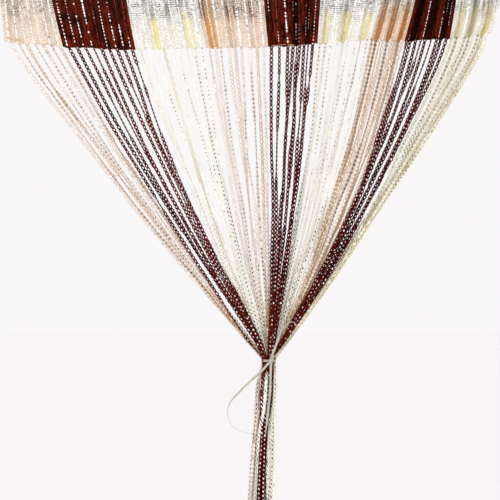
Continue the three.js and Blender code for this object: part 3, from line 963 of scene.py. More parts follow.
@dataclass
class GatheredCloth:
    """Where each point of the flat heading lies once its folds have taken the cloth up."""

    samples_per_block: int = 240
    halvings: int = 40  # of the range in which a block's depth of fold is looked for
    fold_shows: Pair = (0.12, 0.62)  # a fold's height where its colour starts to show, and shows in full
    fade_in: Pair = (-0.12, 0.05)  # round the share of the way down where that colour starts
    fade_out: Pair = (-0.1, 0.1)  # round the share where it ends

    def __post_init__(self) -> None:
        """Works out the folds at the top edge and at the hem."""
        self.pitch = FLAT_WIDTH / string_count()
        counts = [block.strings for block in BLOCKS]
        self.border_places = self.pitch * np.concatenate([[0], np.cumsum(counts)])
        self.top = self._section([border.top_x for border in BORDERS])
        self.hem = self._section([border.hem_x for border in BORDERS])

    def _section(self, borders_x: list[float]) -> dict[str, Array]:
        """The heading seen from above at one edge.

        Args:
            borders_x: the blocks' borders along that edge.

        Returns:
            For each sample its place on the cloth, x, y, every fold's height by the fold's number,
            and the way that the cloth runs there.
        """
        share = np.linspace(0.0, 1.0, self.samples_per_block + 1)
        rows: dict[str, list[Array]] = {"place": [], "x": [], "y": []}
        rows.update({f"fold{number}": [] for number in range(len(FOLDS))})
        for block in range(len(BLOCKS)):
            x = borders_x[block] + (borders_x[block + 1] - borders_x[block]) * share
            heights = {
                number: self._fold_height(fold, share)
                for number, fold in enumerate(FOLDS)
                if fold.block == block
            }
            shape = sum(FOLDS[number].depth * height for number, height in heights.items())
            cloth = self.border_places[block + 1] - self.border_places[block]
            shallow, deep = 0.0, cloth
            for _ in range(self.halvings):
                middle = (shallow + deep) / 2
                if np.hypot(np.diff(x), np.diff(middle * shape)).sum() < cloth:
                    shallow = middle
                else:
                    deep = middle
            y = shallow * shape
            along = np.concatenate([[0.0], np.cumsum(np.hypot(np.diff(x), np.diff(y)))])
            kept = slice(0, None) if block == 0 else slice(1, None)
            rows["place"].append((self.border_places[block] + along * cloth / along[-1])[kept])
            rows["x"].append(x[kept])
            rows["y"].append(y[kept])
            for number in range(len(FOLDS)):
                height = heights.get(number, np.zeros_like(share))
                rows[f"fold{number}"].append(height[kept])
        section = {key: np.concatenate(parts) for key, parts in rows.items()}
        section["run_x"] = np.gradient(section["x"], section["place"])
        section["run_y"] = np.gradient(section["y"], section["place"])
        return section

    @staticmethod
    def _fold_height(fold: Fold, share: Array) -> Array:
        """One smooth fold's height across its block: 1 at its centre, 0 at both feet."""
        away = (share - fold.at) / fold.width
        return np.where(np.abs(away) < 0.5, np.cos(np.pi * away) ** 2, 0.0)

    def _between(self, place: Array, down: Array, column: str) -> Array:
        """Reads a column of the sections.

        Args:
            place: how far across the flat cloth.
            down: the share of the way from top edge to hem.
            column: its name.

        Returns:
            Its value at each place.
        """
        lean = down ** self.border_value(place, "lean")
        top = np.interp(place, self.top["place"], self.top[column])
        hem = np.interp(place, self.hem["place"], self.hem[column])
        return top + (hem - top) * lean

    def border_value(self, place: Array, name: str) -> Array:
        """A number of the borders, read in proportion between them."""
        return np.interp(place, self.border_places, [getattr(border, name) for border in BORDERS])

    def run(self, place: Array, down: Array) -> Array:
        """The way that the cloth runs across, level.

        Args:
            place: how far across the flat cloth.
            down: the share of the way from top edge to hem.

        Returns:
            Unit vectors.
        """
        x = self._between(place, down, "run_x")
        y = self._between(place, down, "run_y")
        return unit(np.stack([x, y, np.zeros_like(x)], -1))

    def point(self, place: Array, down: Array, behind: Array | float) -> Array:
        """Points of the cloth.

        Args:
            place: how far across the flat cloth.
            down: the share of the way from top edge to hem.
            behind: how far behind the cloth's middle, minus towards the room.

        Returns:
            The points, with x, y and z in the last axis.
        """
        place, down = np.broadcast_arrays(np.asarray(place, float), np.asarray(down, float))
        run = self.run(place, down)
        top_z, hem_z = self.border_value(place, "top_z"), self.border_value(place, "hem_z")
        x = self._between(place, down, "x") - run[..., 1] * behind
        y = self._between(place, down, "y") + run[..., 0] * behind
        return np.stack([x, y, top_z + (hem_z - top_z) * down], -1)

    def depth_of(self, place: Array, down: Array, kind: str) -> Array:
        """How strongly the cloth is painted with its folds' shade, by their tone or their dusk.

        Args:
            place: how far across the flat cloth.
            down: the share of the way from top edge to hem.
            kind: "tone" or "dusk".

        Returns:
            That strength at each point.
        """
        total = np.zeros(np.broadcast(place, down).shape)
        for number, fold in enumerate(FOLDS):
            if getattr(fold, kind):
                height = smooth_step(*self.fold_shows, self._between(place, down, f"fold{number}"))
                begun = smooth_step(*(fold.start + reach for reach in self.fade_in), down)
                ended = smooth_step(*(fold.end + reach for reach in self.fade_out), down)
                total += getattr(fold, kind) * height * begun * (1 - ended)
        return total


@dataclass
class Heading:
    """The knitted heading: one sheet with an upright rib above each string."""

    cloth: GatheredCloth
    columns_per_string: int = 12
    rows: int = 18
    last_row: float = 0.99  # how far down the last row starts, short so that the hem stays crisp
    rib_height: float = 0.7 * MM
    rib_half_width: float = 1.2 * MM
    ripple: float = 0.5 * MM
    ripple_spacings: Pair = (7 * MM, 19 * MM)
    ripple_change: float = 2.2  # how far a ripple turns over on its way down, in radians
    ripple_drift: float = 60 * MM  # the distance over which ripples turn over alike
    hem_wave: float = 0.6 * MM
    hem_wave_spacing: float = 5 * MM

    def build(self) -> bpy.types.Object:
        """Makes the sheet.

        Returns:
            The heading's object.
        """
        columns = string_count() * self.columns_per_string
        place = np.broadcast_to(np.linspace(0.0, FLAT_WIDTH, columns + 1), (self.rows + 1, columns + 1))
        levels = np.append(np.linspace(0.0, self.last_row, self.rows), 1.0)
        down = np.broadcast_to(levels[:, None], place.shape)
        rng = np.random.default_rng(SEED)
        counted = place / self.cloth.pitch
        from_rib = np.abs(counted - np.floor(counted) - 0.5) * self.cloth.pitch
        rib = self.rib_height * np.exp(-((from_rib / self.rib_half_width) ** 2))
        ripple = sum(wander(rng, place[0], spacing, self.ripple) for spacing in self.ripple_spacings)
        swing = ripple * np.cos(self.ripple_change * down + wander(rng, place[0], self.ripple_drift, 1.0))
        half = CLOTH_THICKNESS / 2
        front = self.cloth.point(place, down, swing - half - rib)
        back = self.cloth.point(place, down, swing + half + rib)
        hem_drop = wander(rng, place[0], self.hem_wave_spacing, self.hem_wave) * down**4
        front[..., 2] += hem_drop
        back[..., 2] += hem_drop
        vertices = np.concatenate([front.reshape(-1, 3), back.reshape(-1, 3)])
        quads, blocks = self._quads(columns)
        # How strongly each point is painted with the folds' shade and shadow.
        painted_fold_shade = np.tile(self.cloth.depth_of(place, down, "tone").ravel(), 2)
        dusk = np.tile(self.cloth.depth_of(place, down, "dusk").ravel(), 2)
        made = mesh_object("heading", vertices, [quads], {"painted_fold_shade": painted_fold_shade, "dusk": dusk})
        self._dress(made, vertices, place, down, quads, blocks)
        return made

    def _quads(self, columns: int) -> tuple[Array, Array]:
        """The sheet's faces: front, back and the four edges, all facing out.

        Args:
            columns: how many columns of faces the sheet has.

        Returns:
            The faces, and which colour block each is in.
        """
        front = np.arange((self.rows + 1) * (columns + 1)).reshape(self.rows + 1, columns + 1)
        back = front + front.size
        faces = [
            np.stack([front[:-1, :-1], front[1:, :-1], front[1:, 1:], front[:-1, 1:]], -1),
            np.stack([back[:-1, :-1], back[:-1, 1:], back[1:, 1:], back[1:, :-1]], -1),
            np.stack([front[:1, :-1], front[:1, 1:], back[:1, 1:], back[:1, :-1]], -1),
            np.stack([front[-1:, :-1], back[-1:, :-1], back[-1:, 1:], front[-1:, 1:]], -1),
            np.stack([front[:-1, :1], back[:-1, :1], back[1:, :1], front[1:, :1]], -1),
            np.stack([front[:-1, -1:], front[1:, -1:], back[1:, -1:], back[:-1, -1:]], -1),
        ]
        strings = np.repeat(np.arange(string_count()), self.columns_per_string)
        block_of_string = np.repeat(np.arange(len(BLOCKS)), [block.strings for block in BLOCKS])
        block = block_of_string[strings]
        blocks = [
            np.tile(block, self.rows), np.tile(block, self.rows), block, block,
            np.full(self.rows, block[0]), np.full(self.rows, block[-1]),
        ]
        return np.concatenate([part.reshape(-1, 4) for part in faces]), np.concatenate(blocks)

    def _dress(
        self, made: bpy.types.Object, vertices: Array, place: Array, down: Array, quads: Array, blocks: Array
    ) -> None:
        """Gives the sheet its three knits and the map of the flat cloth.

        Args:
            made: the heading's object.
            vertices: its points.
            place: each grid point's place across the flat cloth.
            down: its share of the way down.
            quads: the sheet's faces.
            blocks: each face's colour block.
        """
        yarns = list(Yarn)
        for yarn in yarns:
            made.data.materials.append(KNITS[yarn].material())
        index_of_block = np.array([yarns.index(block.yarn) for block in BLOCKS])
        made.data.polygons.foreach_set("material_index", index_of_block[blocks].astype(np.int32))
        flat = np.stack([place, down * HEADING_HEIGHT], -1).reshape(-1, 2)
        uv = made.data.uv_layers.new(name="flat_cloth")
        uv.data.foreach_set("uv", np.tile(flat, (2, 1))[quads.ravel()].astype(np.float32).ravel())


# ---------------------------------------------------------------------------------------------
# The strings
# ---------------------------------------------------------------------------------------------


@dataclass(frozen=True)
class StringLook:
    """What sets the brown strings, and the ribs above them, apart from the pale ones.

    Attributes:
        knotted: whether drawn-up yarn shows where the strands cross, or else dark grains of film.
        cling: how strongly the strings draw together, as a share of the usual.
        shaded: how much deeper a strand is painted on one side of its string, as painted shade.
        mottle: how strongly a strand's tone wanders along it.
        core: the tone of a string that runs inside the tied bundle.
        eye: half the length, width and thickness of a grain of film in a stitch's eye.
        glints: how unevenly the painted glint of those grains varies.
        waist_loss: how many of them the strings hide where they close up above the tie.
        dash_gap: the longest way from one silver dash on a rib to the next, in millimetres.
        dash_bonus: how much likelier than usual a dash shows.
        dash_sunk: how much likelier it is hidden in a fold.
        dash_width: how wide it is, in millimetres.
    """

    knotted: bool
    cling: float
    shaded: float
    mottle: float
    core: float
    eye: Triple
    glints: float
    waist_loss: float
    dash_gap: float
    dash_bonus: float
    dash_sunk: float
    dash_width: float


BROWN_LOOK = StringLook(
    True, 1.0, 0.28, 0.14, 0.5, (1.9 * MM, 1.35 * MM, 0.7 * MM), 0.22, 0.4, 5.2, 0.0, 0.9, 0.88
)
PALE_LOOK = StringLook(
    False, 0.45, 0.06, 0.09, 0.1, (2.6 * MM, 1.7 * MM, 0.25 * MM), 0.04, 0.0, 4.6, 0.15, 0.5, 1.3
)
LOOKS = {Yarn.BEIGE: PALE_LOOK, Yarn.BROWN: BROWN_LOOK, Yarn.IVORY: PALE_LOOK}


@dataclass
class StringLine:
    """One string's centre line, evenly sampled.

    Attributes:
        block: its colour block.
        points: the line.
        along: how far along it each point is.
        across: the way across the string's face.
        facing: the way out of its face.
        outer: whether it runs on the tied bundle's outside.
        cast: how much deeper or lighter than its neighbours it is, by chance.
        gold: how much deeper it is because of its place in the fringe.
    """

    block: Block
    points: Array
    along: Array
    across: Array
    facing: Array
    outer: bool
    cast: float
    gold: float

    @property
    def look(self) -> StringLook:
        """What sets its colour's strings apart."""
        return LOOKS[self.block.yarn]

    def at(self, along: Array, name: str) -> Array:
        """The string's points or directions at places along it."""
        rows = getattr(self, name)
        return np.column_stack([np.interp(along, self.along, rows[:, axis]) for axis in range(3)])

    def height(self, along: Array) -> Array:
        """The string's height at places along it."""
        return np.interp(along, self.along, self.points[:, 2])

    def reaches(self, z: float) -> float:
        """How far along the string a height is reached."""
        return float(np.interp(-z, -self.points[:, 2], self.along))


@dataclass
class StringPaths:
    """Where each string runs: from the hem to the tie, and from there down the tied bundle.

    A sway is the spacing and the size of the swings that a string makes.

    Attributes:
        cloth: the gathered heading that the strings grow from.
        step: the distance between a line's points.
        hem_overlap: how far inside the hem a string starts.
        neck_z: where the strings come together above the tie.
        settled_z: from here down they swing and face as they do in the bundle.
        end_spread: how unevenly they are cut, each way, in millimetres.
        golden_angle: the turn from one string of a block to the next in the bundle.
        sideways: how much a string in the bundle's side turns its face to that side.
        outer_reach: from how far out, as a share of the bundle, a string counts as an outer one.
        flare_at: the share of the way to the waist at which the flare is widest.
        apart_from: the shares of that way over which the string that keeps apart moves out.
        apart_to: the shares over which it comes back.
        apart_swing: how far it swings, and how far its block's other strings do.
        apart_place: its place in its block's slot.
        others: how the others' places are squeezed, and where their first one is.
        long_sway: a free string's slow sway, across.
        short_sway: its quick sway, across.
        back_sway: its sway from front to back.
        tail_sway: a string's sway across in the bundle.
        tail_back_sway: its sway there from front to back.
        turn_sway: how its face turns, in radians.
        edge_stretches: how often a string stands on edge.
        edge_half_length: half the length of such a stretch, at least and at most, in millimetres.
        edge_turn: how far it is turned there, in radians.
    """

    cloth: GatheredCloth
    step: float = 2 * MM
    hem_overlap: float = 3 * MM
    neck_z: float = WAIST.z
    settled_z: float = -0.52
    end_spread: float = 6.0
    golden_angle: float = math.pi * (3 - math.sqrt(5))
    sideways: float = 0.55
    outer_reach: float = 0.64
    flare_at: float = 0.1
    apart_from: Pair = (0.62, 0.88)
    apart_to: Pair = (0.94, 1.0)
    apart_swing: Pair = (-2.8 * MM, 2.8 * MM)
    apart_place: float = -0.85
    others: Pair = (0.45, -0.25)
    long_sway: Pair = (110 * MM, 1.5 * MM)
    short_sway: Pair = (45 * MM, 0.35 * MM)
    back_sway: Pair = (90 * MM, 1.8 * MM)
    tail_sway: Pair = (90 * MM, 1.1 * MM)
    tail_back_sway: Pair = (90 * MM, 0.8 * MM)
    turn_sway: Pair = (60 * MM, 0.2)
    edge_stretches: int = 8
    edge_half_length: Pair = (12.0, 50.0)
    edge_turn: float = 1.3

    def __post_init__(self) -> None:
        """Reads the bundle's table by columns, from the lowest row up."""
        rows = sorted(BUNDLE, key=lambda row: row.z)
        columns = ("z", "x", "half_width", "half_depth")
        self._bundle = {name: np.array([getattr(row, name) for row in rows]) for name in columns}

    def section(self, z: Array) -> tuple[Array, Array, Array]:
        """The bundle's section.

        Args:
            z: the heights.

        Returns:
            Its centre, half width and half depth at each height.
        """
        heights, *columns = self._bundle.values()
        x, half_width, half_depth = (np.interp(z, heights, column) for column in columns)
        return x, half_width, half_depth

    def _in_bundle(self, block: Block, index: int, z: Array) -> Array:
        """Where a string runs in the bundle at each height, as points.

        Args:
            block: its colour block.
            index: its number in the block.
            z: the heights.

        Returns:
            The points.
        """
        share = np.zeros((len(z), 4)) + np.array(block.slots[0])
        for (start, stop), before, after in zip(SLOT_CHANGES, block.slots, block.slots[1:]):
            share += (np.array(after) - np.array(before)) * smooth_step(-start, -stop, -z)[:, None]
        angle = index * self.golden_angle
        ring = math.sqrt((index + 0.5) / block.strings)
        ordered = 2 * (index + 0.5) / block.strings - 1
        if block.apart:
            squeeze, first = self.others
            ordered = self.apart_place if index == 0 else squeeze * (ordered + 1) + first
        mixing = smooth_step(-WAIST_Z, -SLOT_CHANGES[1][1], -z)
        offset_x = ordered + (ring * math.cos(angle) - ordered) * mixing
        centre, half_width, half_depth = self.section(z)
        x = centre + half_width * (share[:, 0] + share[:, 2] * offset_x)
        y = half_depth * (share[:, 1] + share[:, 3] * ring * math.sin(angle))
        return np.column_stack([x, y, z])

    def line(self, number: int, index: int) -> StringLine:
        """One string's line.

        Args:
            number: the number of its colour block.
            index: its number in the block.

        Returns:
            The line from just inside the hem to the cut end.
        """
        block = BLOCKS[number]
        rng = np.random.default_rng([SEED, number, index])
        place = self.cloth.border_places[number] + self.cloth.pitch * (index + 0.5)
        start = self.cloth.point(place, 1.0, 0.0)
        start[2] += self.hem_overlap
        way = self._in_bundle(block, index, np.array([self.neck_z]))[0] - start
        end_z = WAIST_Z - (STRING_LENGTH - float(np.linalg.norm(way)))
        end_z += rng.uniform(-self.end_spread, self.end_spread) * MM
        heights = np.arange(start[2], end_z, -self.step)
        depth = start[2] - heights

        share = np.clip((heights - start[2]) / way[2], 0.0, 1.0)
        points = start + way * share[:, None]
        points[:, 0] += self.cloth.border_value(place, "bow") * 4 * share * (1 - share)
        spacing = (BORDERS[number + 1].hem_x - BORDERS[number].hem_x) / block.strings
        points[:, 0] += self._cling(number, index) * spacing * (1 - share) * smooth_step(0.08, 0.4, share)
        flare = share / self.flare_at
        points[:, 0] += self.cloth.border_value(place, "flare") * flare * np.exp(1 - flare)
        if block.apart:
            gap = smooth_step(*self.apart_from, share) * (1 - smooth_step(*self.apart_to, share))
            points[:, 0] += self.apart_swing[min(index, 1)] * gap
        free = np.sin(np.pi * share) ** 0.8
        sway = wander(rng, depth, *self.long_sway) + wander(rng, depth, *self.short_sway)
        points[:, 0] += free * sway
        points[:, 1] += free * wander(rng, depth, *self.back_sway)

        tail = self._in_bundle(block, index, heights)
        settled = smooth_step(-WAIST_Z, -self.settled_z, -heights)
        loose = settled * (1 + smooth_step(0.7, 1.9, -heights))  # they hang twice as loosely at the end
        tail[:, 0] += loose * wander(rng, depth, *self.tail_sway)
        tail[:, 1] += loose * wander(rng, depth, *self.tail_back_sway)
        points = np.where((heights < self.neck_z)[:, None], tail, points)
        gold = float(self.cloth.border_value(place, "gold"))
        return self._framed(block, resampled(self._softened(points), self.step), rng, gold)

    def _cling(self, number: int, index: int) -> float:
        """How far a string draws sideways to the one or two neighbours that it clings to.

        Args:
            number: the number of its colour block.
            index: its number in the block.

        Returns:
            The distance, as a share of the strings' spacing.
        """
        rng = np.random.default_rng([SEED, number, 7])
        block = BLOCKS[number]
        start = 0
        while True:
            size = int(rng.integers(1, 4))
            pull = rng.uniform(0.35, 0.8)
            if index < start + size:
                last = min(start + size, block.strings) - 1
                return pull * ((start + last) / 2 - index) * LOOKS[block.yarn].cling
            start += size

    @staticmethod
    def _softened(points: Array) -> Array:
        """Rounds off the turn at the waist by averaging over a few neighbours.

        Args:
            points: a string's line.

        Returns:
            The softened line.
        """
        reach = 2
        weights = np.hanning(2 * reach + 3)[1:-1]
        weights /= weights.sum()
        padded = np.vstack([points[:1]] * reach + [points] + [points[-1:]] * reach)
        return np.column_stack([np.convolve(padded[:, axis], weights, "valid") for axis in range(3)])

    def _framed(self, block: Block, points: Array, rng: np.random.Generator, gold: float) -> StringLine:
        """Adds to a line the way its flat face looks.

        Args:
            block: the string's colour block.
            points: its centre line.
            rng: its source of random numbers.
            gold: how much deeper it is because of its place in the fringe.

        Returns:
            The finished line.
        """
        tangent = unit(np.gradient(points, axis=0))
        along = length_along(points)
        centre, half_width, half_depth = self.section(points[:, 2])
        out_x, out_y = self.sideways * (points[:, 0] - centre) / half_width, points[:, 1] / half_depth
        out = np.column_stack([out_x, out_y, np.zeros(len(points))])
        below = points[:, 2] < SLOT_CHANGES[-1][1]
        reach = np.hypot(out[below, 0] / self.sideways, out[below, 1]).mean()
        in_tail = smooth_step(-self.neck_z, -self.settled_z, -points[:, 2])[:, None]
        towards = (1 - in_tail) * np.array([0.0, -1.0, 0.0]) + in_tail * unit(out)
        facing = unit(towards - (towards * tangent).sum(1, keepdims=True) * tangent)
        across = np.cross(facing, tangent)
        turn = wander(rng, along, *self.turn_sway) + self._edge_on(rng, along)
        cos, sin = np.cos(turn)[:, None], np.sin(turn)[:, None]
        return StringLine(
            block, points, along, across * cos + facing * sin, facing * cos - across * sin,
            bool(reach > self.outer_reach), float(rng.normal()), gold,
        )

    def _edge_on(self, rng: np.random.Generator, along: Array) -> Array:
        """Turns a string on edge in a few short stretches.

        Args:
            rng: its source of random numbers.
            along: places along it.

        Returns:
            How far it is turned at each place, in radians.
        """
        turn = np.zeros_like(along)
        for _ in range(rng.poisson(self.edge_stretches)):
            middle = rng.uniform(0.0, along[-1])
            half = rng.uniform(*self.edge_half_length) * MM
            within = 1 - smooth_step(half * 0.6, half, np.abs(along - middle))
            turn += rng.choice([-1, 1]) * self.edge_turn * within
        return turn


@dataclass
class StringGroup:
    """The strings of one colour block: each a chain of two strands that cross at every stitch."""

    number: int
    paths: StringPaths
    stitch: float = 5.5 * MM
    swing: float = 1.62 * MM  # from the string's middle to a strand's middle
    lift: float = 0.45 * MM  # the same from front to back, where the strands cross
    strand_half: float = 0.84 * MM
    strand_depth: float = 0.55 * MM
    knot: Triple = (1.95 * MM, 2.1 * MM, 0.85 * MM)  # half its size each way
    # the knots are painted deeper than the strands: painted shade where they cross
    knot_tone: float = 0.62
    wedge_back: float = -0.3 * MM  # of a strand with three sides, which is flat behind
    core_step: float = 12 * MM
    # how strongly a strand's sides are painted in shade
    edge_tone: float = 0.7
    closing: Pair = (0.3, 0.45)  # depths over which the pale strings close up and deepen
    pressed: Pair = (0.46, 0.5)  # depths over which the tie presses them together
    chain_end: float = -0.672  # below this the chain is coarser, and plain inside the bundle
    squeeze: float = 0.4  # how much narrower the string is under the tie
    squeeze_reach: float = 0.012

    def build(self, silver: "SilverThread") -> bpy.types.Object:
        """Makes the block's strings and adds their silver film.

        Args:
            silver: where the strings' film is collected.

        Returns:
            The strings' object.
        """
        block = BLOCKS[self.number]
        joiner = Joiner()
        for index in range(block.strings):
            line = self.paths.line(self.number, index)
            rng = np.random.default_rng([SEED, self.number, index, 1])
            stitches = round(line.along[-1] / self.stitch)
            length = line.along[-1] / stitches
            fine = math.ceil(line.reaches(self.chain_end) / length)
            half, deep, back = self.strand_half, self.strand_depth, self.wedge_back
            diamond = np.array([(half, 0.0), (0.0, deep), (-half, 0.0), (0.0, -deep)])
            self._chain(joiner, line, rng, self._phases(0, fine, (0.12, 0.5, 0.88)), length, diamond)
            if line.outer:
                wedge = np.array([(half, back), (0.0, deep), (-half, back)])
                self._chain(joiner, line, rng, self._phases(fine, stitches, (0.2, 0.8)), length, wedge)
            else:
                self._core(joiner, line, fine * length)
            silver.thread(line, self, rng, stitches, length)
        return joiner.build(f"strings_{block.name}", YARNS[block.yarn].material())

    @staticmethod
    def _phases(first: int, last: int, shares: tuple[float, ...]) -> Array:
        """Where a stretch's strands are sampled.

        Args:
            first: the stretch's first stitch.
            last: the stitch after its last one.
            shares: the places within each stitch.

        Returns:
            The places, counted in stitches.
        """
        return (np.arange(first, last)[:, None] + np.array(shares)).ravel()

    def narrowed(self, z: Array) -> Array:
        """A string's share of its full width at each height."""
        return 1 - self.squeeze * np.exp(-(((z - WAIST_Z) / self.squeeze_reach) ** 2))

    def _chain(
        self, joiner: Joiner, line: StringLine, rng: np.random.Generator,
        phase: Array, length: float, section: Array,
    ) -> None:
        """Adds a stretch of one string's two crossing strands.

        Args:
            joiner: where the block's strings are collected.
            line: the string.
            rng: its source of random numbers.
            phase: where the strands are sampled, counted in stitches.
            length: a stitch's length.
            section: a strand's outline.
        """
        along = phase * length
        centre, across, facing = (line.at(along, name) for name in ("points", "across", "facing"))
        since = along - along[0]
        stitch = np.floor(phase).astype(int)
        plump = 1 + rng.normal(0, 0.12, stitch[-1] + 1)[stitch]
        width = self.narrowed(centre[:, 2]) * plump * (1 + wander(rng, since, 35 * MM, 0.08))
        base = self._base_tone(line, along) + wander(rng, since, 50 * MM, 0.12)
        # A strand's sides are painted in shade.
        edge = np.tile(self.edge_tone * (np.abs(section[:, 0]) > 0), len(phase))
        within = phase - stitch
        reach = (1 - 2 * np.abs(within - 0.5)) ** 0.55  # the strands keep to the string's sides
        for side in (1, -1):
            swing = side * np.where(stitch % 2 == 0, 1.0, -1.0) * reach * width
            lift = side * np.cos(math.pi * phase) * self.lift
            middle = centre + across * (swing * self.swing)[:, None] + facing * lift[:, None]
            tangent = unit(np.gradient(middle, axis=0))
            out = unit(facing - (facing * tangent).sum(1, keepdims=True) * tangent)
            vertices, faces = tube(middle, np.cross(out, tangent), out, section)
            # One side of the string is painted deeper, as painted shade.
            tone = base + line.look.shaded * swing + rng.normal(0, 0.05)
            tone = tone + wander(rng, since, 12 * MM, line.look.mottle)
            joiner.add(vertices, faces, tone=np.repeat(tone, len(section)), edge=edge)
        if line.look.knotted and len(section) == 4:
            self._knots(joiner, line, rng, np.unique(stitch) * length)

    def _knots(self, joiner: Joiner, line: StringLine, rng: np.random.Generator, along: Array) -> None:
        """Adds the drawn-up yarn where the strands cross.

        Args:
            joiner: where the block's strings are collected.
            line: the string.
            rng: its source of random numbers.
            along: where the strands cross.
        """
        facing, across = line.at(along, "facing"), line.at(along, "across")
        scale = rng.uniform(0.75, 1.1, (len(along), 1))
        half_length, half_width, half_depth = self.knot
        ahead = np.cross(across, facing) * half_length * scale
        wide = across * half_width * self.narrowed(line.height(along))[:, None]
        vertices, faces = facets(line.at(along, "points"), ahead, wide, facing * half_depth)
        # The knots' deeper tone is painted shade where the strands cross.
        tone = self.knot_tone + line.block.deepen + rng.normal(0, 0.2, len(along))
        edge = np.tile([0.2, self.edge_tone, 0.0, 0.2, self.edge_tone, 0.0], len(along))
        joiner.add(vertices, faces, tone=np.repeat(tone, GRAIN_CORNERS), edge=edge)

    def _base_tone(self, line: StringLine, along: Array) -> Array:
        """How deep a string's colour is at places along it.

        Args:
            line: the string.
            along: the places.

        Returns:
            The tone, 0 light and 1 deep.
        """
        if line.look.knotted:
            return np.full(len(along), line.block.deepen + 0.34 + 0.12 * line.cast)
        on_edge = np.abs(line.at(along, "across")[:, 1])
        near_waist = smooth_step(*self.closing, -line.height(along))
        tail = smooth_step(*self.pressed, -line.height(along))
        cast = (0.4 if line.cast > 0.6 else 0.0) * (1 - 0.6 * tail) + 0.03 * line.cast  # some are deep
        deepen = line.gold * (1 - 0.7 * tail) + line.block.deepen * (1 - 0.95 * tail)
        return deepen + 0.02 + cast * (1 + near_waist) + 0.3 * on_edge**2 + 0.08 * near_waist - 0.1 * tail

    def _core(self, joiner: Joiner, line: StringLine, start: float) -> None:
        """Adds the plain rest of a string that runs inside the bundle.

        Args:
            joiner: where the block's strings are collected.
            line: the string.
            start: how far along it the plain part starts.
        """
        along = np.linspace(start, line.along[-1], round((line.along[-1] - start) / self.core_step))
        half, thick = self.swing, self.strand_depth * 1.5
        section = np.array([(half, 0.0), (0.0, thick), (-half, 0.0), (0.0, -thick)])
        vertices, faces = tube(*(line.at(along, name) for name in ("points", "across", "facing")), section)
        joiner.add(vertices, faces, tone=np.array(line.look.core), edge=np.array(0.2))


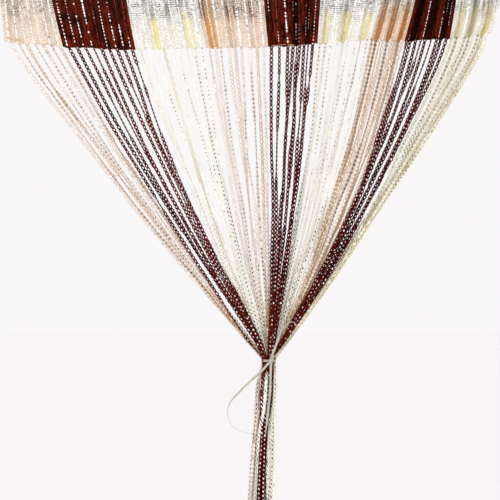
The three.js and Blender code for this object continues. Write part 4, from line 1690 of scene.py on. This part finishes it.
@dataclass
class SilverThread:
    """The silver film knitted in with the yarn: grains in the strings' eyes and dashes on the ribs.

    Attributes:
        cloth: the gathered heading, which the ribs' dashes lie on.
        dot: half the length, width and thickness of a grain painted dark, as painted reflection.
        parting_x: the strings that start to the left of this are one piece, the others another.
        closing: the depths over which the strings close up above the tie.
        pressed: the depths over which the tie presses them together.
        hem_margin: no dash is nearer than this to the hem.
        dash_lift: how far a dash stands off the cloth.
        dash_half_thickness: half its thickness.
        left: where the left strings' grains are collected.
        right: where the others' are.
        ribs: where the dashes are.
    """

    cloth: GatheredCloth
    dot: Triple = (1.25 * MM, 1.0 * MM, 1.2 * MM)
    parting_x: float = 0.02
    closing: Pair = (0.28, 0.46)
    pressed: Pair = (0.475, 0.52)
    hem_margin: float = 2 * MM
    dash_lift: float = 0.7 * MM
    dash_half_thickness: float = 0.45 * MM
    left: Joiner = field(default_factory=Joiner)
    right: Joiner = field(default_factory=Joiner)
    ribs: Joiner = field(default_factory=Joiner)

    def thread(
        self, line: StringLine, group: StringGroup, rng: np.random.Generator, stitches: int, length: float
    ) -> None:
        """Adds one string's film: grains in its eyes, painted bright, and on a pale string some painted
        dark, as painted reflection.

        Args:
            line: the string.
            group: its colour block's strings, for their sizes.
            rng: its source of random numbers.
            stitches: how many stitches the string has.
            length: a stitch's length.
        """
        eyes = np.arange(stitches - 1) + 0.5
        low = line.height(eyes * length) < group.chain_end
        hidden = low if not line.outer else low & (np.arange(len(eyes)) % 2 == 1)
        look = line.look
        missing = 1 - line.block.film
        fallen = -line.height(eyes * length)
        tail = smooth_step(*self.pressed, fallen)
        near_waist = smooth_step(*self.closing, fallen) * (1 - tail)
        present = wander(rng, eyes * length, 40 * MM, 0.5) + rng.normal(0, 0.6, len(eyes))
        keep = (present > 2.2 * missing - 1.0 - 0.5 * tail + look.waist_loss * near_waist) & ~hidden
        # Each grain's glint is painted into its colour: painted reflection.
        glint = np.clip(rng.normal(0.95, look.glints, len(eyes)), 0, 1)
        grown = (1 + 0.15 * tail[keep]) * rng.uniform(0.5, 1.1, keep.sum()) if look.knotted else 1.0
        self._grains(line, group, rng, eyes[keep] * length, glint[keep], look.eye, grown)
        if not look.knotted:
            # Runs of grains painted dark: painted reflection.
            runs = rng.normal(0.0, 0.6) + wander(rng, eyes * length, 80 * MM, 0.8)
            dark = (runs + rng.normal(0, 0.3, len(eyes)) > -0.2 * near_waist - 0.6 * tail) & ~low
            shade = np.clip(rng.normal(0.02, 0.1, len(eyes)), 0, 0.35)
            sizes = np.clip(rng.normal(0.62, 0.16) + 0.3 * runs + 0.2 * near_waist + 0.4 * tail, 0.45, 1.05)
            self._grains(line, group, rng, eyes[dark] * length, shade[dark], self.dot, sizes[dark])

    def _grains(
        self, line: StringLine, group: StringGroup, rng: np.random.Generator,
        along: Array, glint: Array, size: Triple, grown: Array | float = 1.0,
    ) -> None:
        """Adds grains along one string.

        Args:
            line: the string.
            group: its colour block's strings.
            rng: its source of random numbers.
            along: where the grains lie along the string.
            glint: how bright each is.
            size: a grain's half length, half width and half thickness.
            grown: how much larger each is.
        """
        if not len(along):
            return
        facing, across = line.at(along, "facing"), line.at(along, "across")
        scale = rng.uniform(0.85, 1.1, (len(along), 1)) * np.reshape(grown, (-1, 1))
        half_length, half_width, half_depth = size
        ahead = np.cross(across, facing) * half_length * scale
        wide = across * half_width * scale * group.narrowed(line.height(along))[:, None]
        vertices, faces = facets(line.at(along, "points"), ahead, wide, facing * half_depth)
        joiner = self.left if line.points[0, 0] < self.parting_x else self.right
        joiner.add(vertices, faces, glint=np.repeat(glint, GRAIN_CORNERS))

    def dash_ribs(self) -> None:
        """Adds the broken silver lines on the heading's ribs, front and back."""
        string = 0
        for block in BLOCKS:
            for _ in range(block.strings):
                for face in (-1, 1):
                    self._dash_rib(block, string, face)
                string += 1

    def _dash_rib(self, block: Block, string: int, face: int) -> None:
        """Adds the dashes of one rib on one face of the cloth.

        Args:
            block: the rib's colour block.
            string: the rib's number from the left.
            face: -1 for the face towards the room, 1 for the back.
        """
        rng = np.random.default_rng([SEED, string, 2 + face])
        look = LOOKS[block.yarn]
        middles = np.cumsum(rng.uniform(2.8, look.dash_gap, 40) * MM)
        middles = middles[middles < HEADING_HEIGHT - self.hem_margin]
        strength = rng.normal(0.55 * block.film, 0.35) + wander(rng, middles, 18 * MM, 0.5)
        strength += rng.normal(0, 0.3, len(middles)) + look.dash_bonus
        place = np.full(len(middles), (string + 0.5) * self.cloth.pitch)
        strength -= look.dash_sunk * self.cloth.depth_of(place, middles / HEADING_HEIGHT, "tone")
        shown = strength > 0
        if not shown.any():
            return
        down, strength, place = middles[shown] / HEADING_HEIGHT, strength[shown], place[shown]
        bold = rng.uniform(0.7, 1.4)
        half = rng.uniform(1.1, 1.7, len(down)) * (0.75 + 0.6 * np.clip(strength, 0, 1)) * bold * MM
        lift = face * (CLOTH_THICKNESS / 2 + self.dash_lift)
        centre = self.cloth.point(place, down, lift)
        way = unit(self.cloth.point(place, down + 0.01, lift) - centre)
        run = self.cloth.run(place, down)
        out = np.cross(run, way) * -face * self.dash_half_thickness
        width = rng.uniform(0.8, 1.3, (len(down), 1)) * bold * look.dash_width * MM
        vertices, faces = facets(centre, way * half[:, None], -face * run * width, out)
        # Each dash's glint is painted into its colour: painted reflection.
        glint = np.clip(rng.normal(0.95, 0.16, len(down)), 0.5, 1.0)
        self.ribs.add(vertices, faces, glint=np.repeat(glint, GRAIN_CORNERS))

    def build(self) -> list[bpy.types.Object]:
        """Makes the film.

        Returns:
            Its three pieces.
        """
        film = SilverFinish().material()
        parts = {"on_ribs": self.ribs, "in_strings_left": self.left, "in_strings_right": self.right}
        return [joiner.build(f"silver_{name}", film, smooth=False) for name, joiner in parts.items()]


@dataclass
class LooseThreads:
    """Fine golden threads worked loose at the hem: curls at its left end, wavy ones in the middle."""

    cloth: GatheredCloth
    radius: float = 0.24 * MM
    step: float = 0.9 * MM
    stand_off: float = 2.2 * MM
    curl: float = 1.4 * MM
    tone: float = 0.3
    runs: tuple[tuple[float, float, float, float, int], ...] = (
        # from and to, as shares of the flat width; how far it strays up and down; height; curls
        (0.002, 0.024, 3.2 * MM, 4.8 * MM, 4),
        (0.008, 0.03, 2.4 * MM, 3.6 * MM, 4),
        (0.05, 0.07, 1.0 * MM, 0.6 * MM, 3),
        (0.432, 0.458, 0.9 * MM, 1.0 * MM, 3),
        (0.46, 0.474, 1.1 * MM, 0.7 * MM, 2),
    )

    def build(self) -> bpy.types.Object:
        """Makes the threads.

        Returns:
            Their object.
        """
        rng = np.random.default_rng([SEED, 99])
        joiner = Joiner()
        for start, stop, stray, height, curls in self.runs:
            share = np.linspace(0, 1, curls * 10)
            phase = 2 * math.pi * curls * share + wander(rng, share, 0.15, 0.8)
            place = FLAT_WIDTH * (start + (stop - start) * share) + self.curl * np.sin(phase)
            points = self.cloth.point(place, np.ones_like(place), -self.stand_off)
            points[:, 1] -= 0.5 * MM * np.cos(phase * 0.7)
            points[:, 2] += height + stray * np.cos(phase) * (0.6 + 0.4 * np.sin(3.3 * share + curls))
            points = resampled(points, self.step)
            tangent = unit(np.gradient(points, axis=0))
            towards = np.array([0.05, -1.0, 0.1])
            facing = unit(towards - (tangent @ towards)[:, None] * tangent)
            section = self.radius * np.array([(1.0, 0.0), (0.0, 1.0), (-1.0, 0.0), (0.0, -1.0)])
            vertices, faces = tube(points, np.cross(facing, tangent), facing, section)
            joiner.add(vertices, faces, tone=np.array(self.tone), edge=np.array(0.0))
        return joiner.build("loose_hem_threads", YarnFinish(
            "golden textured polyester yarn", "ecd2a8", "c2925a", "dbb884", "string_beige"
        ).material())


# ---------------------------------------------------------------------------------------------
# The tie
# ---------------------------------------------------------------------------------------------


@dataclass(frozen=True)
class Stretch:
    """One loose stretch of the tape.

    Attributes:
        name: the piece's name.
        node: the solid that it stands for.
        far_end: what its far end is.
        route: the points that it follows.
        turns: how far it is turned, in radians, at even steps from the knot to its end.
        taper: how much of its width it loses where it is rolled up, and the shares of its length
            at which that starts and is done.
    """

    name: str
    node: str
    far_end: str
    route: Route
    turns: tuple[float, ...]
    taper: Triple


STRETCHES = (
    Stretch(
        "tie_bow_loop", "tie_loop", "object", LOOP_ROUTE,
        (0.2, 0.0, 0.3, 1.1, 1.2, 1.0, 0.8, 0.5), (0.0, 0.0, 1.0),
    ),
    Stretch(
        "tie_free_end_left", "tie_end_left", "bare", LEFT_END_ROUTE,
        (0.1, 0.1, 0.4, 0.9, 1.35, 1.5, 1.55), (0.6, 0.45, 0.7),
    ),
    Stretch(
        "tie_free_end_down", "tie_end_tail", "bare", TAIL_END_ROUTE,
        (0.3, 0.1, 0.0, 0.2, 0.1), (0.75, 0.72, 1.0),
    ),
)


@dataclass
class Tie:
    """The narrow tape that ties the strings: two turns, a knot, a bow loop and two free ends.

    Attributes:
        width: the tape's width.
        drawn_width: its width where it is drawn tight round the strings.
        knot_width: its width in the knot.
        thickness: its thickness.
        outline: its section, as shares of half its width and half its thickness.
        sample_step: the distance between the points of a loose stretch.
        knot_step: the same in the knot.
        wrap_clearance: from the strings to the middle of the turns round them.
        turns: how far each turn rises, and how much further out it lies.
        knot_front: how far the knot lies behind the front of the solid that it stands for.
        strips: for each strip of the knot, how far it is turned, in radians, and the points that
            it follows: x, how far behind the knot's front, and z.
    """

    width: float = 3 * MM
    drawn_width: float = 1.7 * MM
    knot_width: float = 2.4 * MM
    thickness: float = 0.35 * MM
    outline: tuple[Pair, ...] = ((1, 0), (0.8, 1), (-0.8, 1), (-1, 0), (-0.8, -1), (0.8, -1))
    sample_step: float = 1 * MM
    knot_step: float = 0.5 * MM
    wrap_clearance: float = 0.7 * MM
    turns: tuple[Pair, ...] = ((1.2 * MM, 0.0), (-1.1 * MM, 0.3 * MM))
    knot_front: float = 1.2 * MM
    strips: tuple[tuple[float, Route], ...] = (
        (0.2, ((0.0312, 0.0, -0.4745), (0.0285, -0.0006, -0.4805), (0.0236, 0.0, -0.4865))),
        (0.5, ((0.0262, 0.001, -0.4785), (0.0292, 0.0001, -0.482), (0.0272, 0.001, -0.486))),
        (0.1, ((0.0245, 0.0012, -0.4822), (0.027, 0.0004, -0.4806), (0.031, 0.0012, -0.4822))),
    )

    def __post_init__(self) -> None:
        """Makes the tape's material."""
        self.finish = TapeFinish().material()

    def _strip(self, joiner: Joiner, points: Array, turn: Array, width: float | Array) -> None:
        """Adds a flat strip of tape along a line.

        Args:
            joiner: what it is added to.
            points: the line.
            turn: how far the tape is turned about the line at each point, in radians.
            width: the tape's width, or its width at each point.
        """
        tangent = unit(np.gradient(points, axis=0))
        towards = np.array([0.0, -1.0, 0.0])
        facing = unit(towards - (tangent @ towards)[:, None] * tangent)
        across = np.cross(facing, tangent)
        cos, sin = np.cos(turn)[:, None], np.sin(turn)[:, None]
        across, facing = across * cos + facing * sin, facing * cos - across * sin
        wide = np.broadcast_to(width, len(points))[:, None] / 2
        joiner.add(*tube(points, across * wide, facing * self.thickness / 2, np.array(self.outline)))

    def _loose(self, stretch: Stretch) -> bpy.types.Object:
        """Args:
            stretch: which one.

        Returns:
            The piece.
        """
        points = along_route(stretch.route, self.sample_step)
        share = np.linspace(0, 1, len(points))
        lost, start, stop = stretch.taper
        width = self.width * (1 - lost * smooth_step(start, stop, share))
        turn = np.interp(share, np.linspace(0, 1, len(stretch.turns)), stretch.turns)
        joiner = Joiner()
        self._strip(joiner, points, turn, width)
        made = joiner.build(stretch.name, self.finish)
        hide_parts(stretch.node)
        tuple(stretch.route[0])
        return made

    def build(self) -> list[bpy.types.Object]:
        """Makes the tie.

        Returns:
            The turns with their knot, the loop and the two ends.
        """
        return [self._turn_and_knot(), *(self._loose(stretch) for stretch in STRETCHES)]

    def _turn_and_knot(self) -> bpy.types.Object:
        """Makes the tape's two drawn-up turns round the waist and the flat knot in front of them.

        Returns:
            The piece.
        """
        half_width = WAIST.half_width + self.wrap_clearance
        half_depth = WAIST.half_depth + self.wrap_clearance
        joiner = Joiner()
        angle = np.linspace(-math.pi / 2, 1.5 * math.pi, 61)
        for rise, out in self.turns:
            ring = np.column_stack([
                WAIST.x + (half_width + out) * np.cos(angle),
                (half_depth + out) * np.sin(angle),
                WAIST_Z + rise * np.sin(angle * 0.5 + 0.4),
            ])
            self._band(joiner, ring, np.column_stack([np.cos(angle), np.sin(angle), 0 * angle]))
        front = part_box("tie_wrap")[0].y + self.knot_front
        for turn, strip in self.strips:
            points = along_route(tuple((x, front + y, z) for x, y, z in strip), self.knot_step)
            self._strip(joiner, points, np.full(len(points), turn), self.knot_width)
        made = joiner.build("tie_turn_and_knot", self.finish)
        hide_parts("tie_wrap")
        return made

    def _band(self, joiner: Joiner, points: Array, outward: Array) -> None:
        """Adds a turn of the tape that lies flat against what it ties.

        Args:
            joiner: what it is added to.
            points: the turn's line.
            outward: the way out from the bundle at each point.
        """
        tangent = unit(np.gradient(points, axis=0))
        facing = unit(outward - (outward * tangent).sum(1, keepdims=True) * tangent)
        across = np.cross(facing, tangent) * self.drawn_width / 2
        joiner.add(*tube(points, across, facing * self.thickness / 2, np.array(self.outline)))


# ---------------------------------------------------------------------------------------------
# The studio
# ---------------------------------------------------------------------------------------------


@dataclass
class Studio:
    """A pale floor, a bright even room, soft light from the upper left, and the camera.

    Attributes:
        frame_width: how wide the camera's view is at the curtain.
        centre_x: the middle of that view, across.
        centre_z: the same, up.
        distance: from the curtain to the camera.
        floor_z: the floor's height, a little under the strings' ends.
        floor_side: the side of the floor.
        floor_glow: the white floor is lit from under it too, as a light table is.
        floor_colour: its colour.
        room_light: the pale room's own light, as a share of how bright it looks.
        room_colour: the room's colour.
        lights: each light's name, place, side and power in watts.
    """

    frame_width: float = 0.641
    centre_x: float = 0.0006
    centre_z: float = -0.3405
    distance: float = 2.6
    floor_z: float = -2.06
    floor_side: float = 80
    floor_glow: float = 0.2
    floor_colour: str = "fbf9fa"
    room_light: float = 0.82
    room_colour: str = "f9f7f8"
    lights: tuple[tuple[str, Triple, float, float], ...] = (
        ("key_light", (-1.5, -2.2, 0.9), 1.3, 26.0),
        ("fill_light", (1.8, -1.9, 0.1), 1.6, 11.0),
    )

    def build(self) -> None:
        """Makes the camera, the floor, the lights and the room's light."""
        scene = bpy.context.scene
        scene.view_settings.view_transform = "Standard"
        scene.camera = self._camera()
        self._floor()
        for light in self.lights:
            self._light(*light)
        world = bpy.data.worlds.new("bright_room")
        world.use_nodes = True
        scene.world = world
        tree = world.node_tree
        seen = add_node(tree, "LightPath", output="Is Camera Ray")
        strength = add_node(
            tree, "Math", (seen, 1 - self.room_light, self.room_light), operation="MULTIPLY_ADD"
        )
        fill(tree, tree.nodes["Background"], {"Color": self.room_colour, "Strength": strength})

    def _camera(self) -> bpy.types.Object:
        """Sets the camera up, level with the middle of what it frames.

        Returns:
            The camera.
        """
        camera = bpy.data.objects.new("camera", bpy.data.cameras.new("camera"))
        bpy.context.scene.collection.objects.link(camera)
        camera.location = (self.centre_x, -self.distance, self.centre_z)
        camera.rotation_euler = (math.pi / 2, 0.0, 0.0)
        camera.data.lens = camera.data.sensor_width * self.distance / self.frame_width
        return camera

    def _floor(self) -> None:
        """The floor under the curtain, which isn't part of it."""
        bpy.ops.object.select_all(action="DESELECT")
        bpy.ops.mesh.primitive_plane_add(size=self.floor_side, location=(0, 0, self.floor_z))
        floor = bpy.context.object
        floor.name = "floor"
        material, tree, shader = new_material("frosted white acrylic sheet")
        fill(tree, shader, {
            "Base Color": self.floor_colour, "Emission Color": self.floor_colour,
            "Emission Strength": self.floor_glow, "Roughness": 0.85,
        })
        floor.data.materials.append(material)

    def _light(self, name: str, place: Triple, size: float, power: float) -> None:
        """Adds a soft square light that looks at the middle of the fan of strings.

        Args:
            name: the light's name.
            place: where it stands.
            size: its side.
            power: its power in watts.
        """
        data = bpy.data.lights.new(name, "AREA")
        data.size, data.energy = size, power
        light = bpy.data.objects.new(name, data)
        bpy.context.scene.collection.objects.link(light)
        light.location = place
        aim = Vector((0.0, 0.0, self.centre_z)) - Vector(place)
        light.rotation_euler = aim.to_track_quat("-Z", "Y").to_euler()


def triangles(piece: bpy.types.Object) -> int:
    """How many triangles a piece has."""
    return sum(len(face.vertices) - 2 for face in piece.data.polygons)


def main() -> None:
    """Builds the studio, the tie, the heading, the strings and their silver, and reports each piece."""
    logging.basicConfig(level=logging.INFO, format="%(message)s")
    Studio().build()
    pieces = [(piece, "tie_tape") for piece in Tie().build()]

    cloth = GatheredCloth()
    heading = Heading(cloth).build()
    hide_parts("heading_band")
    pieces.append((heading, "heading_knit"))

    silver = SilverThread(cloth)
    silver.dash_ribs()
    paths = StringPaths(cloth)
    for number, block in enumerate(BLOCKS):
        group = StringGroup(number, paths).build(silver)
        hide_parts("string_comb")
        pieces.append((group, YARNS[block.yarn].slot))
    grains = silver.build()
    pieces.extend((piece, "silver_thread") for piece in grains)
    threads = LooseThreads(cloth).build()
    pieces.append((threads, "string_beige"))
    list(grains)

    for piece, slot in pieces:
        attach(piece, "root")
        log.info("%s: %d triangles", piece.name, triangles(piece))
    log.info("all: %d triangles", sum(triangles(piece) for piece, _ in pieces))


if __name__ == "__main__":
    main()
